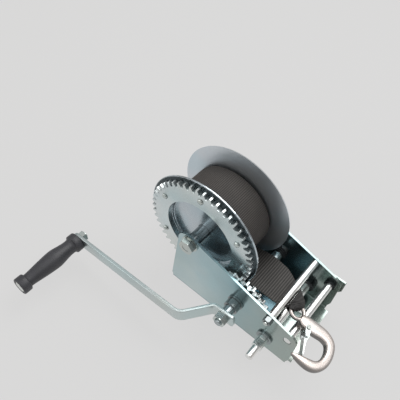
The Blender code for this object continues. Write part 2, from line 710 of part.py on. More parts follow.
def build_grip(parent, crank_parent):
    """The turning grip on its bolt; local origin on the grip's axis."""
    seat = ARM_OUT_Y - ARM_THICK / 2 - GAP
    end = seat - GRIP_LENGTH
    bore = STUD_RADIUS + GAP
    profile = [(bore, seat), (12.2, seat), (13.0, seat - 1.0), (13.0, seat - 9.0), (12.0, seat - 10.0),
               (10.2, seat - 10.6), (10.0, seat - 15.0), (11.1, seat - 26.0), (12.7, seat - 38.0),
               (12.5, seat - 44.0), (11.2, seat - 60.0), (9.6, seat - 75.0), (8.9, end + 12.4),
               (10.8, end + 11.8), (11.9, end + 10.4), (11.9, end + 1.0), (11.0, end), (9.0, end),
               (8.7, end + 3.0), (bore, end + 3.0)]
    add_piece("grip", turned(profile, 32), FINISH["plastic"], parent)
    x = GRIP_X - LAY_X
    z = GRIP_Z - LAY_Z
    inside = ARM_OUT_Y + ARM_THICK / 2 + GAP
    head = end + 3.0 - GAP
    steps = [(7.9, head - 2.6), (7.9, head), (STUD_RADIUS, head), (STUD_RADIUS, inside + 8.5)]
    add_piece("grip_bolt", rod_with_chamfers(steps, 0.6, 24, x, z), FINISH["zinc"], crank_parent)
    nut = hex_nut(14.0, STUD_RADIUS + GAP, inside, inside + 6.5, x, z)
    add_piece("grip_nut", nut, FINISH["zinc"], crank_parent)


def build_low_shaft(parent):
    """The low-speed shaft, with a free end that the crank also fits."""
    seat = HALF_WIDTH + GAP + 2.2 + GAP
    steps = [(STUD_RADIUS, -88.0), (STUD_RADIUS, -71.5), (SHAFT_RADIUS, -71.0), (SHAFT_RADIUS, seat + 5.0)]
    shaft = add_piece("low_gear_shaft", rod_with_chamfers(steps), FINISH["bright"], parent)
    for side in (-1, 1):
        flat = prism([(-12, side * 5.6), (12, side * 5.6), (12, side * 12), (-12, side * 12)], -71.7, -60.0)
        boolean(shaft, add_cutter("cut_shaft_flat_%s" % ("low" if side < 0 else "high"), flat, parent))
    lay_phase = 0.0
    phase = meshing_phase(PINION_TEETH, LAY_TEETH, lay_phase, LOW_ANGLE)
    geared("low_gear_pinion", PINION_TEETH, SHAFT_RADIUS + GAP, -48.2, -42.1, phase, parent)
    ring = tube(9.6, SHAFT_RADIUS + GAP, seat, seat + 1.6, 24)
    add_piece("low_shaft_retaining_ring", ring, FINISH["black_steel"], parent)
    collar = tube(11.0, SHAFT_RADIUS + GAP, INNER_Y - 6.0, INNER_Y - GAP, 32)
    add_piece("low_shaft_collar", collar, FINISH["black_steel"], parent)


# ---------------------------------------------------------------- pawl

def build_pawl_stud(parent):
    y0 = HALF_WIDTH + GAP
    base = y0 + DOUBLER + GAP
    profile = [(0, y0 + 0.2), (3.0, y0 + 0.2), (3.0, base), (5.4, base), (5.4, base + 1.2), (3.0, base + 1.2),
               (3.0, base + 9.2), (5.0, base + 9.2), (5.0, base + 10.6), (0, base + 10.6)]
    add_piece("pawl_stud", turned(profile, 20, PAWL_X, PAWL_Z), FINISH["zinc"], parent)


def build_pawl(parent):
    """A pawl on the stud, its nose over the ratchet wheel and a thumb tab on its tail."""
    y0 = HALF_WIDTH + GAP + DOUBLER + GAP + 1.2 + GAP + 1.6
    nose = math.degrees(math.acos(20.0 / PAWL_DISTANCE))
    length = math.sqrt(PAWL_DISTANCE ** 2 - 20.0 ** 2)
    aim = PAWL_BEARING + 180 - (90 - nose) - PAWL_LIFT
    along = Vector((math.cos(math.radians(aim)), math.sin(math.radians(aim))))
    across = Vector((-along.y, along.x))

    def at(s, t):
        return tuple(along * s + across * t)
    outline = [at(length + 0.5, -0.6), at(length + 1.0, -6.0), at(7.0, -6.4)]
    outline += arc(0, 0, 6.4, aim - 75, aim - 140, 5)
    outline += [at(-20.0, -3.0), at(-21.5, 0.0), at(-20.0, 3.0)]
    outline += arc(0, 0, 6.4, aim + 140, aim + 60, 5)
    outline += [at(7.0, 4.2), at(12.0, 0.8), at(17.0, -1.7), at(21.6, -3.0), at(length - 0.7, -0.6)]
    pawl = add_piece("pawl", prism(outline, y0, y0 + PAWL_THICK), FINISH["zinc"], parent, smooth=False)
    boolean(pawl, add_cutter("cut_pawl_bore", rod(3.0 + GAP, y0 - 3, y0 + PAWL_THICK + 3, 20), parent))


# ---------------------------------------------------------------- strap lead-out

# The strap's edges along the way out: x, near edge y, far edge y
STRAP_EDGES = (
    (0.0, -20.8, 29.2),
    (58.0, -22.5, 29.0),
    (80.0, -26.0, 28.6),
    (102.0, -27.0, 24.0),
    (113.0, -27.4, 18.0),
    (121.0, -27.4, 12.6),
    (128.0, -26.6, 8.0),
    (132.0, -25.0, 6.2),
)


def eye_axes():
    """Forward, towards the far side and upward in the plane of the hook's eye."""
    turn = Matrix.Rotation(math.radians(HOOK_SLOPE), 3, "Y") @ Matrix.Rotation(math.radians(-HOOK_ROLL), 3, "X")
    return turn.col[0], turn.col[1], turn.col[2]


def belt_turns():
    """The round things that the strap bears on: (x, z, signed radius of its middle layer).

    The radius is positive where the round thing lies on the left of the strap's way out.
    """
    half = STRAP_THICK / 2 + GAP
    slope = math.radians(HOOK_SLOPE)
    return [
        (DRUM_X, DRUM_Z, ROLL_RADIUS + half),
        (LAY_X, LAY_Z, -(SHAFT_RADIUS + half)),
        (TIE_X, TIE_Z, SLEEVE_RADIUS + half),
        (EYE_X - EYE_RADIUS * math.cos(slope), EYE_Z + EYE_RADIUS * math.sin(slope), -(EYE_WIRE + half)),
    ]


def tangent(first, second):
    """Where a belt leaves the first round thing and meets the second, and its heading."""
    ax, az, ra = first
    bx, bz, rb = second
    span = Vector((bx - ax, bz - az))
    heading = math.atan2(span.y, span.x) - math.asin((rb - ra) / span.length)
    normal = Vector((-math.sin(heading), math.cos(heading)))
    return Vector((ax, az)) - normal * ra, Vector((bx, bz)) - normal * rb, heading


def strap_edges(x):
    for (x0, n0, f0), (x1, n1, f1) in zip(STRAP_EDGES, STRAP_EDGES[1:]):
        if x <= x1:
            share = max((x - x0) / (x1 - x0), 0.0)
            return n0 + (n1 - n0) * share, f0 + (f1 - f0) * share
    return STRAP_EDGES[-1][1:]


def strap_row(x, z, columns, inset=0.0):
    near, far = strap_edges(x)
    return [Vector((x, near + inset + (far - near - 2 * inset) * c / (columns - 1), z))
            for c in range(columns)]


def loop_row(wrap, columns):
    """A row of the loop, wrap degrees round the wire of the eye, from outside to the hole."""
    ahead, side, normal = eye_axes()
    lift = math.radians(wrap)
    row = []
    for c in range(columns):
        share = c / (columns - 1)
        turn = math.radians(LOOP_NEAR + (LOOP_FAR - LOOP_NEAR) * share)
        out = side * math.sin(turn) - ahead * math.cos(turn)
        radius = EYE_WIRE + GAP + STRAP_THICK / 2 + 0.2
        if math.cos(lift) < 0:
            radius += LOOP_SAG * -math.cos(lift) * (1.0 - abs(2 * share - 1) ** 1.5)
        row.append(Vector((EYE_X, EYE_Y, EYE_Z)) + out * (EYE_RADIUS + radius * math.cos(lift))
                   + normal * (radius * math.sin(lift)))
    return row


def clear_of_eye(place):
    """Keeps a point of the strap's middle layer off the wire of the eye."""
    ahead, side, normal = eye_axes()
    eye = Vector((EYE_X, EYE_Y, EYE_Z))
    flat = place - eye
    flat -= normal * flat.dot(normal)
    core = eye + flat.normalized() * EYE_RADIUS
    away = place - core
    return core + away.normalized() * max(away.length, EYE_WIRE + GAP + STRAP_THICK / 2 + 0.45)


def strap_spans():
    turns = belt_turns()
    return turns, [tangent(a, b) for a, b in zip(turns, turns[1:])]


def hinge_height():
    """The height of the strap's middle layer where it bends as the hook is lifted."""
    turns, spans = strap_spans()
    leave, meet, heading = spans[2]
    return leave.y + math.tan(heading) * (HINGE_X - leave.x)


def lead_rows(columns):
    """The strap's middle layer: off the roll, over the shaft and under the tie, to the bend."""
    turns, spans = strap_spans()
    rows = []
    x, z, radius = turns[0]
    for k in range(5):
        angle = spans[0][2] + math.radians(-22.0 + 22.0 * k / 4)
        rows.append(strap_row(x + radius * math.sin(angle), z - radius * math.cos(angle), columns))
    for i, (leave, meet, heading) in enumerate(spans[:2]):
        for k in range(1, 6):
            place = leave.lerp(meet, k / 5)
            rows.append(strap_row(place.x, place.y, columns))
        x, z, radius = turns[i + 1]
        for k in range(1, 4):
            angle = heading + (spans[i + 1][2] - heading) * k / 3
            rows.append(strap_row(x + radius * math.sin(angle), z - radius * math.cos(angle), columns))
    rows.append(strap_row(HINGE_X - 0.25, hinge_height(), columns))
    return rows


def loop_rows(columns):
    """From the bend, over the wire of the eye, down through it and back under."""
    turns, spans = strap_spans()
    start = strap_row(HINGE_X + 0.45, hinge_height() + 0.1, columns)
    near, far = Vector(SHOULDER_NEAR), Vector(SHOULDER_FAR)
    shoulder = [near.lerp(far, c / (columns - 1)) for c in range(columns)]
    top = loop_row(LOOP_START, columns)
    rows = [start]
    for share in (0.25, 0.45, 0.62, 0.8, 1.0):
        rows.append([a.lerp(b, share) for a, b in zip(start, shoulder)])
    for share in (0.35, 0.7):
        rows.append([a.lerp(b, share) for a, b in zip(shoulder, top)])
    rows[1:] = [[clear_of_eye(place) for place in row] for row in rows[1:]]
    for k in range(14):
        rows.append(loop_row(LOOP_START + (LOOP_END - LOOP_START) * k / 13, columns))
    end = [place - Vector((0, 0, STRAP_THICK + GAP + 0.6)) for place in start]
    rows.append([a.lerp(b, 0.5) - Vector((0, 0, 0.6)) for a, b in zip(rows[-1], end)])
    return rows + [end]


def fold_rows(columns):
    """The strap's end, folded back under the lead-out and sewn to it."""
    turns, spans = strap_spans()
    leave, meet, heading = spans[1]
    under = STRAP_THICK + GAP + 0.3
    rows = []
    for k in range(7):
        x = FOLD_END_X + (118.0 - FOLD_END_X) * k / 6
        share = (x - leave.x) / (meet.x - leave.x)
        rows.append(strap_row(x, leave.y + (meet.y - leave.y) * share - under, columns, 1.0))
    x, z, radius = turns[2]
    for k in range(1, 4):
        angle = spans[1][2] + (spans[2][2] - spans[1][2]) * k / 3
        out = radius + under
        rows.append(strap_row(x + out * math.sin(angle), z - out * math.cos(angle), columns, 1.0))
    return rows


def thick_sheet(rows, thick):
    """A closed sheet of even thickness about a grid of middle points."""
    bm = bmesh.new()
    count = len(rows)
    columns = len(rows[0])
    upper = []
    lower = []
    for i, row in enumerate(rows):
        top = []
        bottom = []
        for c, place in enumerate(row):
            run = rows[min(i + 1, count - 1)][c] - rows[max(i - 1, 0)][c]
            side = row[min(c + 1, columns - 1)] - row[max(c - 1, 0)]
            normal = run.cross(side).normalized() * (thick / 2)
            top.append(bm.verts.new(place + normal))
            bottom.append(bm.verts.new(place - normal))
        upper.append(top)
        lower.append(bottom)
    for i in range(count - 1):
        for c in range(columns - 1):
            bm.faces.new((upper[i][c], upper[i][c + 1], upper[i + 1][c + 1], upper[i + 1][c]))
            bm.faces.new((lower[i][c], lower[i + 1][c], lower[i + 1][c + 1], lower[i][c + 1]))
        for c in (0, columns - 1):
            bm.faces.new((upper[i][c], upper[i + 1][c], lower[i + 1][c], lower[i][c]))
    for i in (0, count - 1):
        for c in range(columns - 1):
            bm.faces.new((upper[i][c], upper[i][c + 1], lower[i][c + 1], lower[i][c]))
    return bm


def build_strap_end(parent, hook_parent):
    add_piece("strap_lead_out", thick_sheet(lead_rows(7), STRAP_THICK), FINISH["webbing"], parent)
    add_piece("strap_fold", thick_sheet(fold_rows(7), STRAP_THICK), FINISH["webbing"], parent)
    loop = thick_sheet(loop_rows(11), STRAP_THICK)
    bmesh.ops.translate(loop, verts=loop.verts, vec=(-EYE_X, -EYE_Y, -EYE_Z))
    turn = hook_rotation().to_3x3().inverted()
    bmesh.ops.rotate(loop, verts=loop.verts, matrix=turn)
    add_piece("strap_end_loop", loop, FINISH["webbing"], hook_parent)


# ---------------------------------------------------------------- hook

def hook_rotation():
    """Columns: along the hook, across it, and the normal of its plane."""
    slope = Matrix.Rotation(math.radians(HOOK_SLOPE), 4, "Y")
    roll = Matrix.Rotation(math.radians(-HOOK_ROLL), 4, "X")
    yaw = Matrix.Rotation(math.radians(HOOK_YAW), 4, "Z")
    return slope @ roll @ yaw


HOOK_LINE = (
    # s, t, half width in the plane, half thickness
    (8.2, 0.6, 4.6, 3.6),
    (14.0, 4.4, 8.4, 4.3),
    (23.4, 11.4, 9.2, 4.9),
    (34.6, 20.6, 8.0, 5.2),
    (45.0, 23.2, 6.5, 5.4),
    (54.0, 18.4, 5.6, 5.5),
    (61.2, 10.0, 5.5, 5.5),
    (65.0, 0.4, 5.8, 5.5),
    (64.6, -8.4, 6.2, 5.5),
    (60.8, -14.8, 6.2, 5.4),
    (55.6, -20.0, 5.2, 5.2),
    (49.2, -25.4, 3.6, 4.2),
    (43.8, -29.6, 1.7, 2.4),
)


def squarish(half_a, half_b, sides):
    """A closed outline between an ellipse and a rectangle."""
    points = []
    for k in range(sides):
        turn = 2 * math.pi * (k + 0.5) / sides
        c, d = math.cos(turn), math.sin(turn)
        points.append((math.copysign(half_a * abs(c) ** 0.72, c), math.copysign(half_b * abs(d) ** 0.72, d)))
    return points


def build_hook(parent):
    """A forged eye hook, lying in the local XY plane with its eye at the local origin."""
    centre = smooth_curve([Vector((s, t, 0)) for s, t, w, h in HOOK_LINE], 3)
    size = smooth_curve([Vector((w, h, 0)) for s, t, w, h in HOOK_LINE], 3)
    path = []
    sections = []
    normal = Vector((0, 0, 1))
    for i, point in enumerate(centre):
        run = (centre[min(i + 1, len(centre) - 1)] - centre[max(i - 1, 0)]).normalized()
        path.append((point, normal.cross(run), normal))
        sections.append(squarish(size[i].x, size[i].y, 16))
    hook = add_piece("hook", swept(path, sections), FINISH["forged"], parent)
    ring_path = []
    ring_sections = []
    for k in range(32):
        x, y = polar(1.0, 360.0 * k / 32)
        out = Vector((x, y, 0))
        ring_path.append((out * EYE_RADIUS, out, normal))
        ring_sections.append(ellipse(EYE_WIRE, EYE_WIRE, 10))
    eye = add_cutter("add_hook_eye", swept(ring_path, ring_sections, closed=True), parent)
    boolean(hook, eye, "UNION")
    boolean(hook, add_cutter("cut_latch_pin", upright_rod(1.5 + GAP, 12.0, LATCH_S, LATCH_T), parent))


def upright_rod(radius, half, s, t):
    """A short rod along the hook plane's normal."""
    bm = rod(radius, -half, half, 16)
    bmesh.ops.rotate(bm, verts=bm.verts, matrix=Matrix.Rotation(math.radians(90), 3, "X"))
    bmesh.ops.translate(bm, verts=bm.verts, vec=(s, t, 0))
    return bm


def flat_plate(outline, low, high):
    """An (s, t) outline made thick along the hook plane's normal."""
    bm = bmesh.new()
    bottom = [bm.verts.new((s, t, low)) for s, t in outline]
    top = [bm.verts.new((s, t, high)) for s, t in outline]
    bm.faces.new(bottom)
    bm.faces.new(list(reversed(top)))
    for i in range(len(outline)):
        j = (i + 1) % len(outline)
        bm.faces.new((bottom[i], top[i], top[j], bottom[j]))
    return bm


def build_latch(hook_parent, parent):
    """The sprung latch: two ears on a pin through the shank, joined by a tongue to the tip."""
    head = 7.4
    pin = turned([(0, -head - 1.2), (2.8, -head - 1.2), (2.8, -head), (1.5, -head), (1.5, head), (2.8, head),
                  (2.8, head + 1.2), (0, head + 1.2)], 16)
    bmesh.ops.rotate(pin, verts=pin.verts, matrix=Matrix.Rotation(math.radians(90), 3, "X"))
    bmesh.ops.translate(pin, verts=pin.verts, vec=(LATCH_S, LATCH_T, 0))
    add_piece("latch_pin", pin, FINISH["zinc"], hook_parent)
    tip = Vector((LATCH_TIP_S - LATCH_S, LATCH_TIP_T - LATCH_T))
    aim = tip.normalized()
    across = Vector((-aim.y, aim.x))

    def at(along, off):
        place = aim * along + across * off
        return (place.x, place.y)
    reach = tip.length
    turn = math.degrees(math.atan2(aim.y, aim.x))
    outline = arc(0, 0, 3.6, turn + 90, turn + 270, 8)
    outline += [at(7.0, -3.4), at(13.0, -2.0), at(reach, -0.9), at(reach + 0.8, 0.0), at(reach, 0.9),
                at(13.0, 1.6), at(7.0, 3.4)]
    latch = add_piece("hook_latch", flat_plate(outline, -7.1, 7.1), FINISH["zinc"], parent, smooth=False)
    inside = flat_plate([at(-8, -8), at(11.5, -8), at(11.5, 8), at(-8, 8)], -5.8, 5.8)
    boolean(latch, add_cutter("cut_latch_inside", inside, parent))
    boolean(latch, add_cutter("cut_latch_bore", upright_rod(1.5 + GAP, 12.0, 0, 0), parent))
    for low, high, name in ((-10.4, -4.4, "low"), (4.4, 10.4, "high")):
        side = flat_plate([at(12.0, -8), at(reach + 6, -8), at(reach + 6, 8), at(12.0, 8)], low, high)
        boolean(latch, add_cutter("cut_latch_side_" + name, side, parent))


FINISH = {}


def main():
    clear_scene()
    FINISH.update(
        zinc=material("zinc plated steel", (0.42, 0.47, 0.48), 0.32, 0.9),
        bright=material("bright plated rod", (0.75, 0.76, 0.76), 0.22, 0.95),
        steel=material("steel", (0.5, 0.5, 0.5), 0.4, 0.9),
        black_steel=material("blackened steel", (0.03, 0.035, 0.04), 0.45, 0.8),
        bronze=material("plated bush", (0.36, 0.38, 0.36), 0.4, 0.9),
        forged=material("forged plated steel", (0.62, 0.58, 0.55), 0.35, 0.9),
        plastic=material("moulded black plastic", (0.035, 0.035, 0.038), 0.5, 0.0),
        webbing=material("dark webbing", (0.035, 0.03, 0.028), 0.9, 0.0),
    )
    frame = axis_empty("frame_origin", 0, 0, 0)
    drum = axis_empty("drum_axis", DRUM_X, 0, DRUM_Z)
    drive = axis_empty("drive_shaft_axis", LAY_X, 0, LAY_Z)
    low = axis_empty("low_shaft_axis", LOW_X, 0, LOW_Z)
    grip = axis_empty("grip_axis", GRIP_X, 0, GRIP_Z)
    pawl = axis_empty("pawl_axis", PAWL_X, 0, PAWL_Z)
    hook = axis_empty("hook_origin", EYE_X, EYE_Y, EYE_Z, hook_rotation())
    pin = hook.matrix_world @ Vector((LATCH_S * MM, LATCH_T * MM, 0))
    latch = axis_empty("latch_axis", pin.x / MM, pin.y / MM, pin.z / MM, hook_rotation())
    build_frame(frame)
    build_doubler(frame)
    build_bushes(frame)
    build_drum_bolt(frame)
    build_tie(frame)
    build_guide_rod(frame)
    build_pawl_stud(frame)
    build_strap_end(frame, hook)
    build_drum(drum)
    build_drive_shaft(drive)
    build_crank(drive)
    build_grip(grip, drive)
    build_low_shaft(low)
    build_pawl(pawl)
    build_hook(hook)
    build_latch(hook, latch)


main()
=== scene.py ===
"""Looks for the two-speed trailer winch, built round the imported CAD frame.

Lengths inside the shape functions are millimetres; MM turns them into metres.
"""
import json
import math

import bmesh
import bpy
from mathutils import Matrix, Vector, noise


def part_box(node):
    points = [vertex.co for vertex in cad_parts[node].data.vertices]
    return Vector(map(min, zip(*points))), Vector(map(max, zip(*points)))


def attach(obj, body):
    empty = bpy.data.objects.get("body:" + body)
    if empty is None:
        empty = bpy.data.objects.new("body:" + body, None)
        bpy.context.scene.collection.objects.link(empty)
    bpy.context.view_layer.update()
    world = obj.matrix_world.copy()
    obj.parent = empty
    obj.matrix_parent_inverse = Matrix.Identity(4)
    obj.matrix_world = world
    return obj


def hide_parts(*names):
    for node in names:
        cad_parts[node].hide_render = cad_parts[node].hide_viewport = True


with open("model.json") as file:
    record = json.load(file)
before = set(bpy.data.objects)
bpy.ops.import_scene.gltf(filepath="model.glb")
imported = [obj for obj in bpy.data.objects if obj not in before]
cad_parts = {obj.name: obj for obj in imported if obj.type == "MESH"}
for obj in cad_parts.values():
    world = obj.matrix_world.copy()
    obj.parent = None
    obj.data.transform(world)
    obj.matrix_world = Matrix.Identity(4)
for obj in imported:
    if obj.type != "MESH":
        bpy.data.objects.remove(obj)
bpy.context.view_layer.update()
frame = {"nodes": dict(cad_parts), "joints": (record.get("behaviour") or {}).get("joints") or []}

MM = 0.001

# Camera: a 36 mm sensor, fitted to the picture's viewing angle
CAMERA_PLACE = (0.1924, -0.3199, 0.60435)
CAMERA_RIGHT = (0.7645, 0.6407, 0.07095)
CAMERA_UP = (-0.5368, 0.5718, 0.6204)
CAMERA_BACK = (0.3569, -0.5124, 0.7811)
LENS = 44.18


def centre(node):
    """The middle of a CAD node's box, in millimetres."""
    low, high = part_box(node)
    return Vector([(a + b) / 2 / MM for a, b in zip(low, high)])


def joint_place(name):
    return Vector([j["pos_m"] for j in frame["joints"] if j["name"] == name][0]) / MM


DRUM = joint_place("drum_spin")
SHAFT = joint_place("drive_shaft_spin")
GRIP = joint_place("grip_spin")
TIE = centre("tie_sleeve")

# Strap
ROLL_OUTER = 58.8
ROLL_INNER = 30.3
STRAP_THICK = 1.5
STRAP_NEAR = -20.8
STRAP_FAR = 29.2
ROLL_RIB = 2.5
LEAD_RIB = 3.3
GAP = 0.3
STRAP_EDGES = (
    (0.0, -20.8, 29.2),
    (58.0, -22.5, 29.0),
    (80.0, -26.0, 28.6),
    (102.0, -27.0, 24.0),
    (113.0, -27.4, 18.0),
    (121.0, -27.4, 12.6),
    (128.0, -26.6, 8.0),
    (132.0, -25.0, 6.2),
)
LOOP_NEAR = -35.0
LOOP_FAR = 106.0
LOOP_START = 70.0
LOOP_END = 285.0
LOOP_SAG = 3.4
HINGE_X = 130.0
SHOULDER_NEAR = Vector((132.0, -24.6, 73.0))
SHOULDER_FAR = Vector((144.2, -4.4, 72.3))
FOLD_END_X = 98.0

# Hook
EYE = Vector((143.8, -20.1, 69.2))
EYE_RADIUS = 8.8
EYE_WIRE = 2.5
HOOK_SLOPE = 14.0
HOOK_ROLL = 7.0
HOOK_YAW = -31.0

# Crank
CRANK_LENGTH = 222.0
CRANK_ANGLE = 185.2
ARM_WIDTH = 20.0
ARM_THICK = 4.5
ARM_HUB_TAIL = 15.0
ARM_HUB_Y = -77.0
ARM_OUT_Y = -113.0


# ---------------------------------------------------------------- materials

class Graph:
    """Adds nodes to a material and joins them up."""

    def __init__(self, name):
        self.material = bpy.data.materials.new(name)
        self.material.use_nodes = True
        self.tree = self.material.node_tree
        self.shader = self.tree.nodes["Principled BSDF"]

    def node(self, kind, inputs=None, **settings):
        made = self.tree.nodes.new(kind)
        for key, value in settings.items():
            setattr(made, key, value)
        for key, value in (inputs or {}).items():
            self.put(made.inputs[key], value)
        return made

    def put(self, socket, value):
        if isinstance(value, bpy.types.NodeSocket):
            self.tree.links.new(value, socket)
        else:
            socket.default_value = value

    def set(self, **inputs):
        for key, value in inputs.items():
            self.put(self.shader.inputs[key.replace("_", " ")], value)

    def coords(self):
        return self.node("ShaderNodeTexCoord").outputs["Object"]

    def noise(self, scale, detail=3.0, roughness=0.5, where=None):
        made = self.node("ShaderNodeTexNoise", {"Vector": where or self.coords(), "Scale": scale,
                                                "Detail": detail, "Roughness": roughness})
        return made.outputs["Fac"]

    def ramp(self, factor, stops):
        made = self.node("ShaderNodeValToRGB", {"Fac": factor})
        elements = made.color_ramp.elements
        while len(elements) < len(stops):
            elements.new(0.5)
        for element, (place, colour) in zip(elements, stops):
            element.position = place
            element.color = (*colour, 1.0) if len(colour) == 3 else colour
        return made.outputs["Color"]

    def range(self, factor, low, high):
        made = self.node("ShaderNodeMapRange", {"Value": factor, "To Min": low, "To Max": high})
        return made.outputs["Result"]

    def bump(self, height, strength, distance, normal=None):
        inputs = {"Height": height, "Strength": strength, "Distance": distance}
        if normal:
            inputs["Normal"] = normal
        return self.node("ShaderNodeBump", inputs).outputs["Normal"]

    def mix(self, factor, a, b, blend="MIX"):
        made = self.node("ShaderNodeMix", data_type="RGBA", blend_type=blend)
        self.put(made.inputs[0], factor)
        self.put(made.inputs[6], a)
        self.put(made.inputs[7], b)
        return made.outputs[2]


# Tints multiplied in as painted shade: on the near flange's outer band, and on the back of the base floor.
FLANGE_SHADE_TINT = (0.13, 0.145, 0.15)
BASE_SHADE_TINT = (0.34, 0.42, 0.48)


def zinc_plate(name, light, dark, rough=(0.16, 0.26), metallic=0.95, brushed=None, painted_side_shade=None, painted_light_fade=None,
               painted_shade_band=None, painted_base_shade=None):
    """Zinc plating over rolled steel: a faint cloudy tint and film colours, uneven gloss, fine orange peel.

    painted_side_shade is painted shade: a dark colour given to a forging's sides, where the normals lie near
    level. painted_light_fade holds painted light along the sheet's length: the tints, darker in the middle
    and warmer at the front, that stand in for how the light falls across it. painted_shade_band is the band
    of radii about the drum's axis that is drawn darker as painted shade. painted_base_shade holds where the
    painted shade on the base starts to end, where it has ended, and how high it reaches.
    """
    g = Graph(name)
    where = g.coords()
    cloud = g.noise(9.0, 3.0, 0.5, where)
    fine = g.noise(160.0, 3.0, 0.6, where)
    tint = g.ramp(cloud, [(0.3, dark), (0.7, light)])
    moved = g.node("ShaderNodeMapping", {"Vector": where, "Location": (3.1, 1.7, 0.4)}).outputs[0]
    film = g.ramp(g.noise(16.0, 2.0, 0.5, moved), [(0.35, (0.90, 1.0, 1.02)), (0.5, (1.0, 1.0, 1.0)),
                                                    (0.66, (1.02, 0.99, 0.95))])
    colour = g.mix(0.6, tint, g.mix(1.0, tint, film, "MULTIPLY"))
    # Painted shade: faces whose normals lie near level take the dark side colour; faces that point up or down
    # keep the plating's colour.
    if painted_side_shade:
        split = g.node("ShaderNodeSeparateXYZ", {"Vector": g.node("ShaderNodeTexCoord").outputs["Normal"]})
        upright = g.node("ShaderNodeMath", {0: split.outputs["Z"]}, operation="ABSOLUTE").outputs[0]
        colour = g.mix(g.range(g.node("ShaderNodeMath", {0: upright, 1: 1.6}, operation="POWER").outputs[0],
                               0.0, 1.0), (*painted_side_shade, 1.0), colour)
    # Painted light: along the sheet's length the colour is left as it is at the back, darkened towards the
    # middle and warmed at the front.
    if painted_light_fade:
        along = g.node("ShaderNodeSeparateXYZ", {"Vector": where}).outputs["X"]
        share = g.node("ShaderNodeMapRange", {"Value": along, "From Min": 0.0, "From Max": 0.165},
                       interpolation_type="SMOOTHSTEP").outputs["Result"]
        tints = g.ramp(share, [(0.0, (1, 1, 1)), (0.42, painted_light_fade[0]), (1.0, painted_light_fade[1])])
        colour = g.mix(1.0, colour, tints, "MULTIPLY")
    # Painted shade: between the two radii about the drum's axis the colour is multiplied dark.
    if painted_shade_band:
        offset = g.node("ShaderNodeVectorMath", {0: where, 1: tuple(DRUM * MM)}, operation="SUBTRACT")
        across = g.node("ShaderNodeVectorMath", {0: offset.outputs[0], 1: (1.0, 0.0, 1.0)},
                        operation="MULTIPLY")
        radius = g.node("ShaderNodeVectorMath", {0: across.outputs[0]}, operation="LENGTH").outputs["Value"]
        ring = g.ramp(g.node("ShaderNodeMapRange", {"Value": radius, "From Min": painted_shade_band[0] * MM,
                                                    "From Max": painted_shade_band[1] * MM}).outputs["Result"],
                      [(0.0, (1, 1, 1)), (0.15, FLANGE_SHADE_TINT), (0.9, FLANGE_SHADE_TINT), (1.0, (1, 1, 1))])
        colour = g.mix(1.0, colour, ring, "MULTIPLY")
    # Painted shade: the base floor below a given height is multiplied by a blue-grey tint behind a given
    # length.
    if painted_base_shade:
        split = g.node("ShaderNodeSeparateXYZ", {"Vector": where}).outputs
        low = g.node("ShaderNodeMapRange", {"Value": split["Z"], "From Min": painted_base_shade[2] * MM,
                                            "From Max": (painted_base_shade[2] + 3.0) * MM, "To Min": 1.0, "To Max": 0.0})
        behind = g.node("ShaderNodeMapRange", {"Value": split["X"], "From Min": painted_base_shade[0] * MM,
                                               "From Max": painted_base_shade[1] * MM, "To Min": 1.0, "To Max": 0.0})
        base_shaded = g.node("ShaderNodeMath", {0: low.outputs["Result"], 1: behind.outputs["Result"]},
                     operation="MULTIPLY").outputs[0]
        colour = g.mix(base_shaded, colour, g.mix(1.0, colour, (*BASE_SHADE_TINT, 1.0), "MULTIPLY"))
    gloss = g.range(g.mix(0.4, cloud, fine), rough[0], rough[1])
    normal = g.bump(g.noise(1100.0, 2.0, 0.5, where), 0.03, 0.0003)
    if brushed:
        stretched = g.node("ShaderNodeMapping", {"Vector": where, "Scale": brushed}).outputs[0]
        normal = g.bump(g.noise(60.0, 3.0, 0.6, stretched), 0.08, 0.0003, normal)
    g.set(Base_Color=colour, Metallic=metallic, Roughness=gloss, Normal=normal)
    return g.material


def webbing(name, valley_colour_and_shade, ridge_colour_and_highlight):
    """Woven polyester: the ribs are in the mesh with their height as an attribute, the yarns are here."""
    g = Graph(name)
    where = g.coords()
    height = g.node("ShaderNodeAttribute", attribute_name="rib", attribute_type="GEOMETRY").outputs["Fac"]
    yarn = g.node("ShaderNodeTexWave", {"Vector": where, "Scale": 420.0, "Distortion": 1.2, "Detail": 2.0,
                                        "Detail Scale": 2.0}, bands_direction="Y").outputs["Fac"]
    mottle = g.noise(45.0, 4.0, 0.6, where)
    fibre = g.noise(2600.0, 3.0, 0.6, where)
    # Painted shade and painted highlight: by rib height the colour runs from the valleys' colour, darkened as
    # shade, to the ridges' colour, lightened as highlight, over the webbing's own dark colour.
    raised = g.node("ShaderNodeMath", {0: height, 1: 2.4}, operation="POWER").outputs[0]
    base = g.mix(raised, (*valley_colour_and_shade, 1.0), (*ridge_colour_and_highlight, 1.0))
    base = g.mix(0.35, base, g.mix(g.mix(0.5, yarn, fibre), (*valley_colour_and_shade, 1.0), (*ridge_colour_and_highlight, 1.0)))
    shade = g.ramp(mottle, [(0.3, (0.84, 0.83, 0.82)), (0.7, (1.12, 1.10, 1.08))])
    g.set(Base_Color=g.mix(1.0, base, shade, "MULTIPLY"), Roughness=g.range(fibre, 0.5, 0.75),
          Normal=g.bump(g.mix(0.5, yarn, fibre), 0.25, 0.0003))
    g.shader.inputs["Sheen Weight"].default_value = 0.05
    g.shader.inputs["Sheen Roughness"].default_value = 0.4
    return g.material


def moulded(name, colour):
    """Injection-moulded plastic with a spark-eroded grain and rubbed high spots."""
    g = Graph(name)
    where = g.coords()
    grain = g.noise(1500.0, 3.0, 0.65, where)
    rub = g.noise(38.0, 4.0, 0.6, where)
    base = g.ramp(rub, [(0.3, [c * 0.8 for c in colour]), (0.7, [c * 1.25 for c in colour])])
    g.set(Base_Color=base, Roughness=g.range(g.mix(0.5, rub, grain), 0.3, 0.6),
          Normal=g.bump(grain, 0.22, 0.0003))
    return g.material


LOOKS = {}


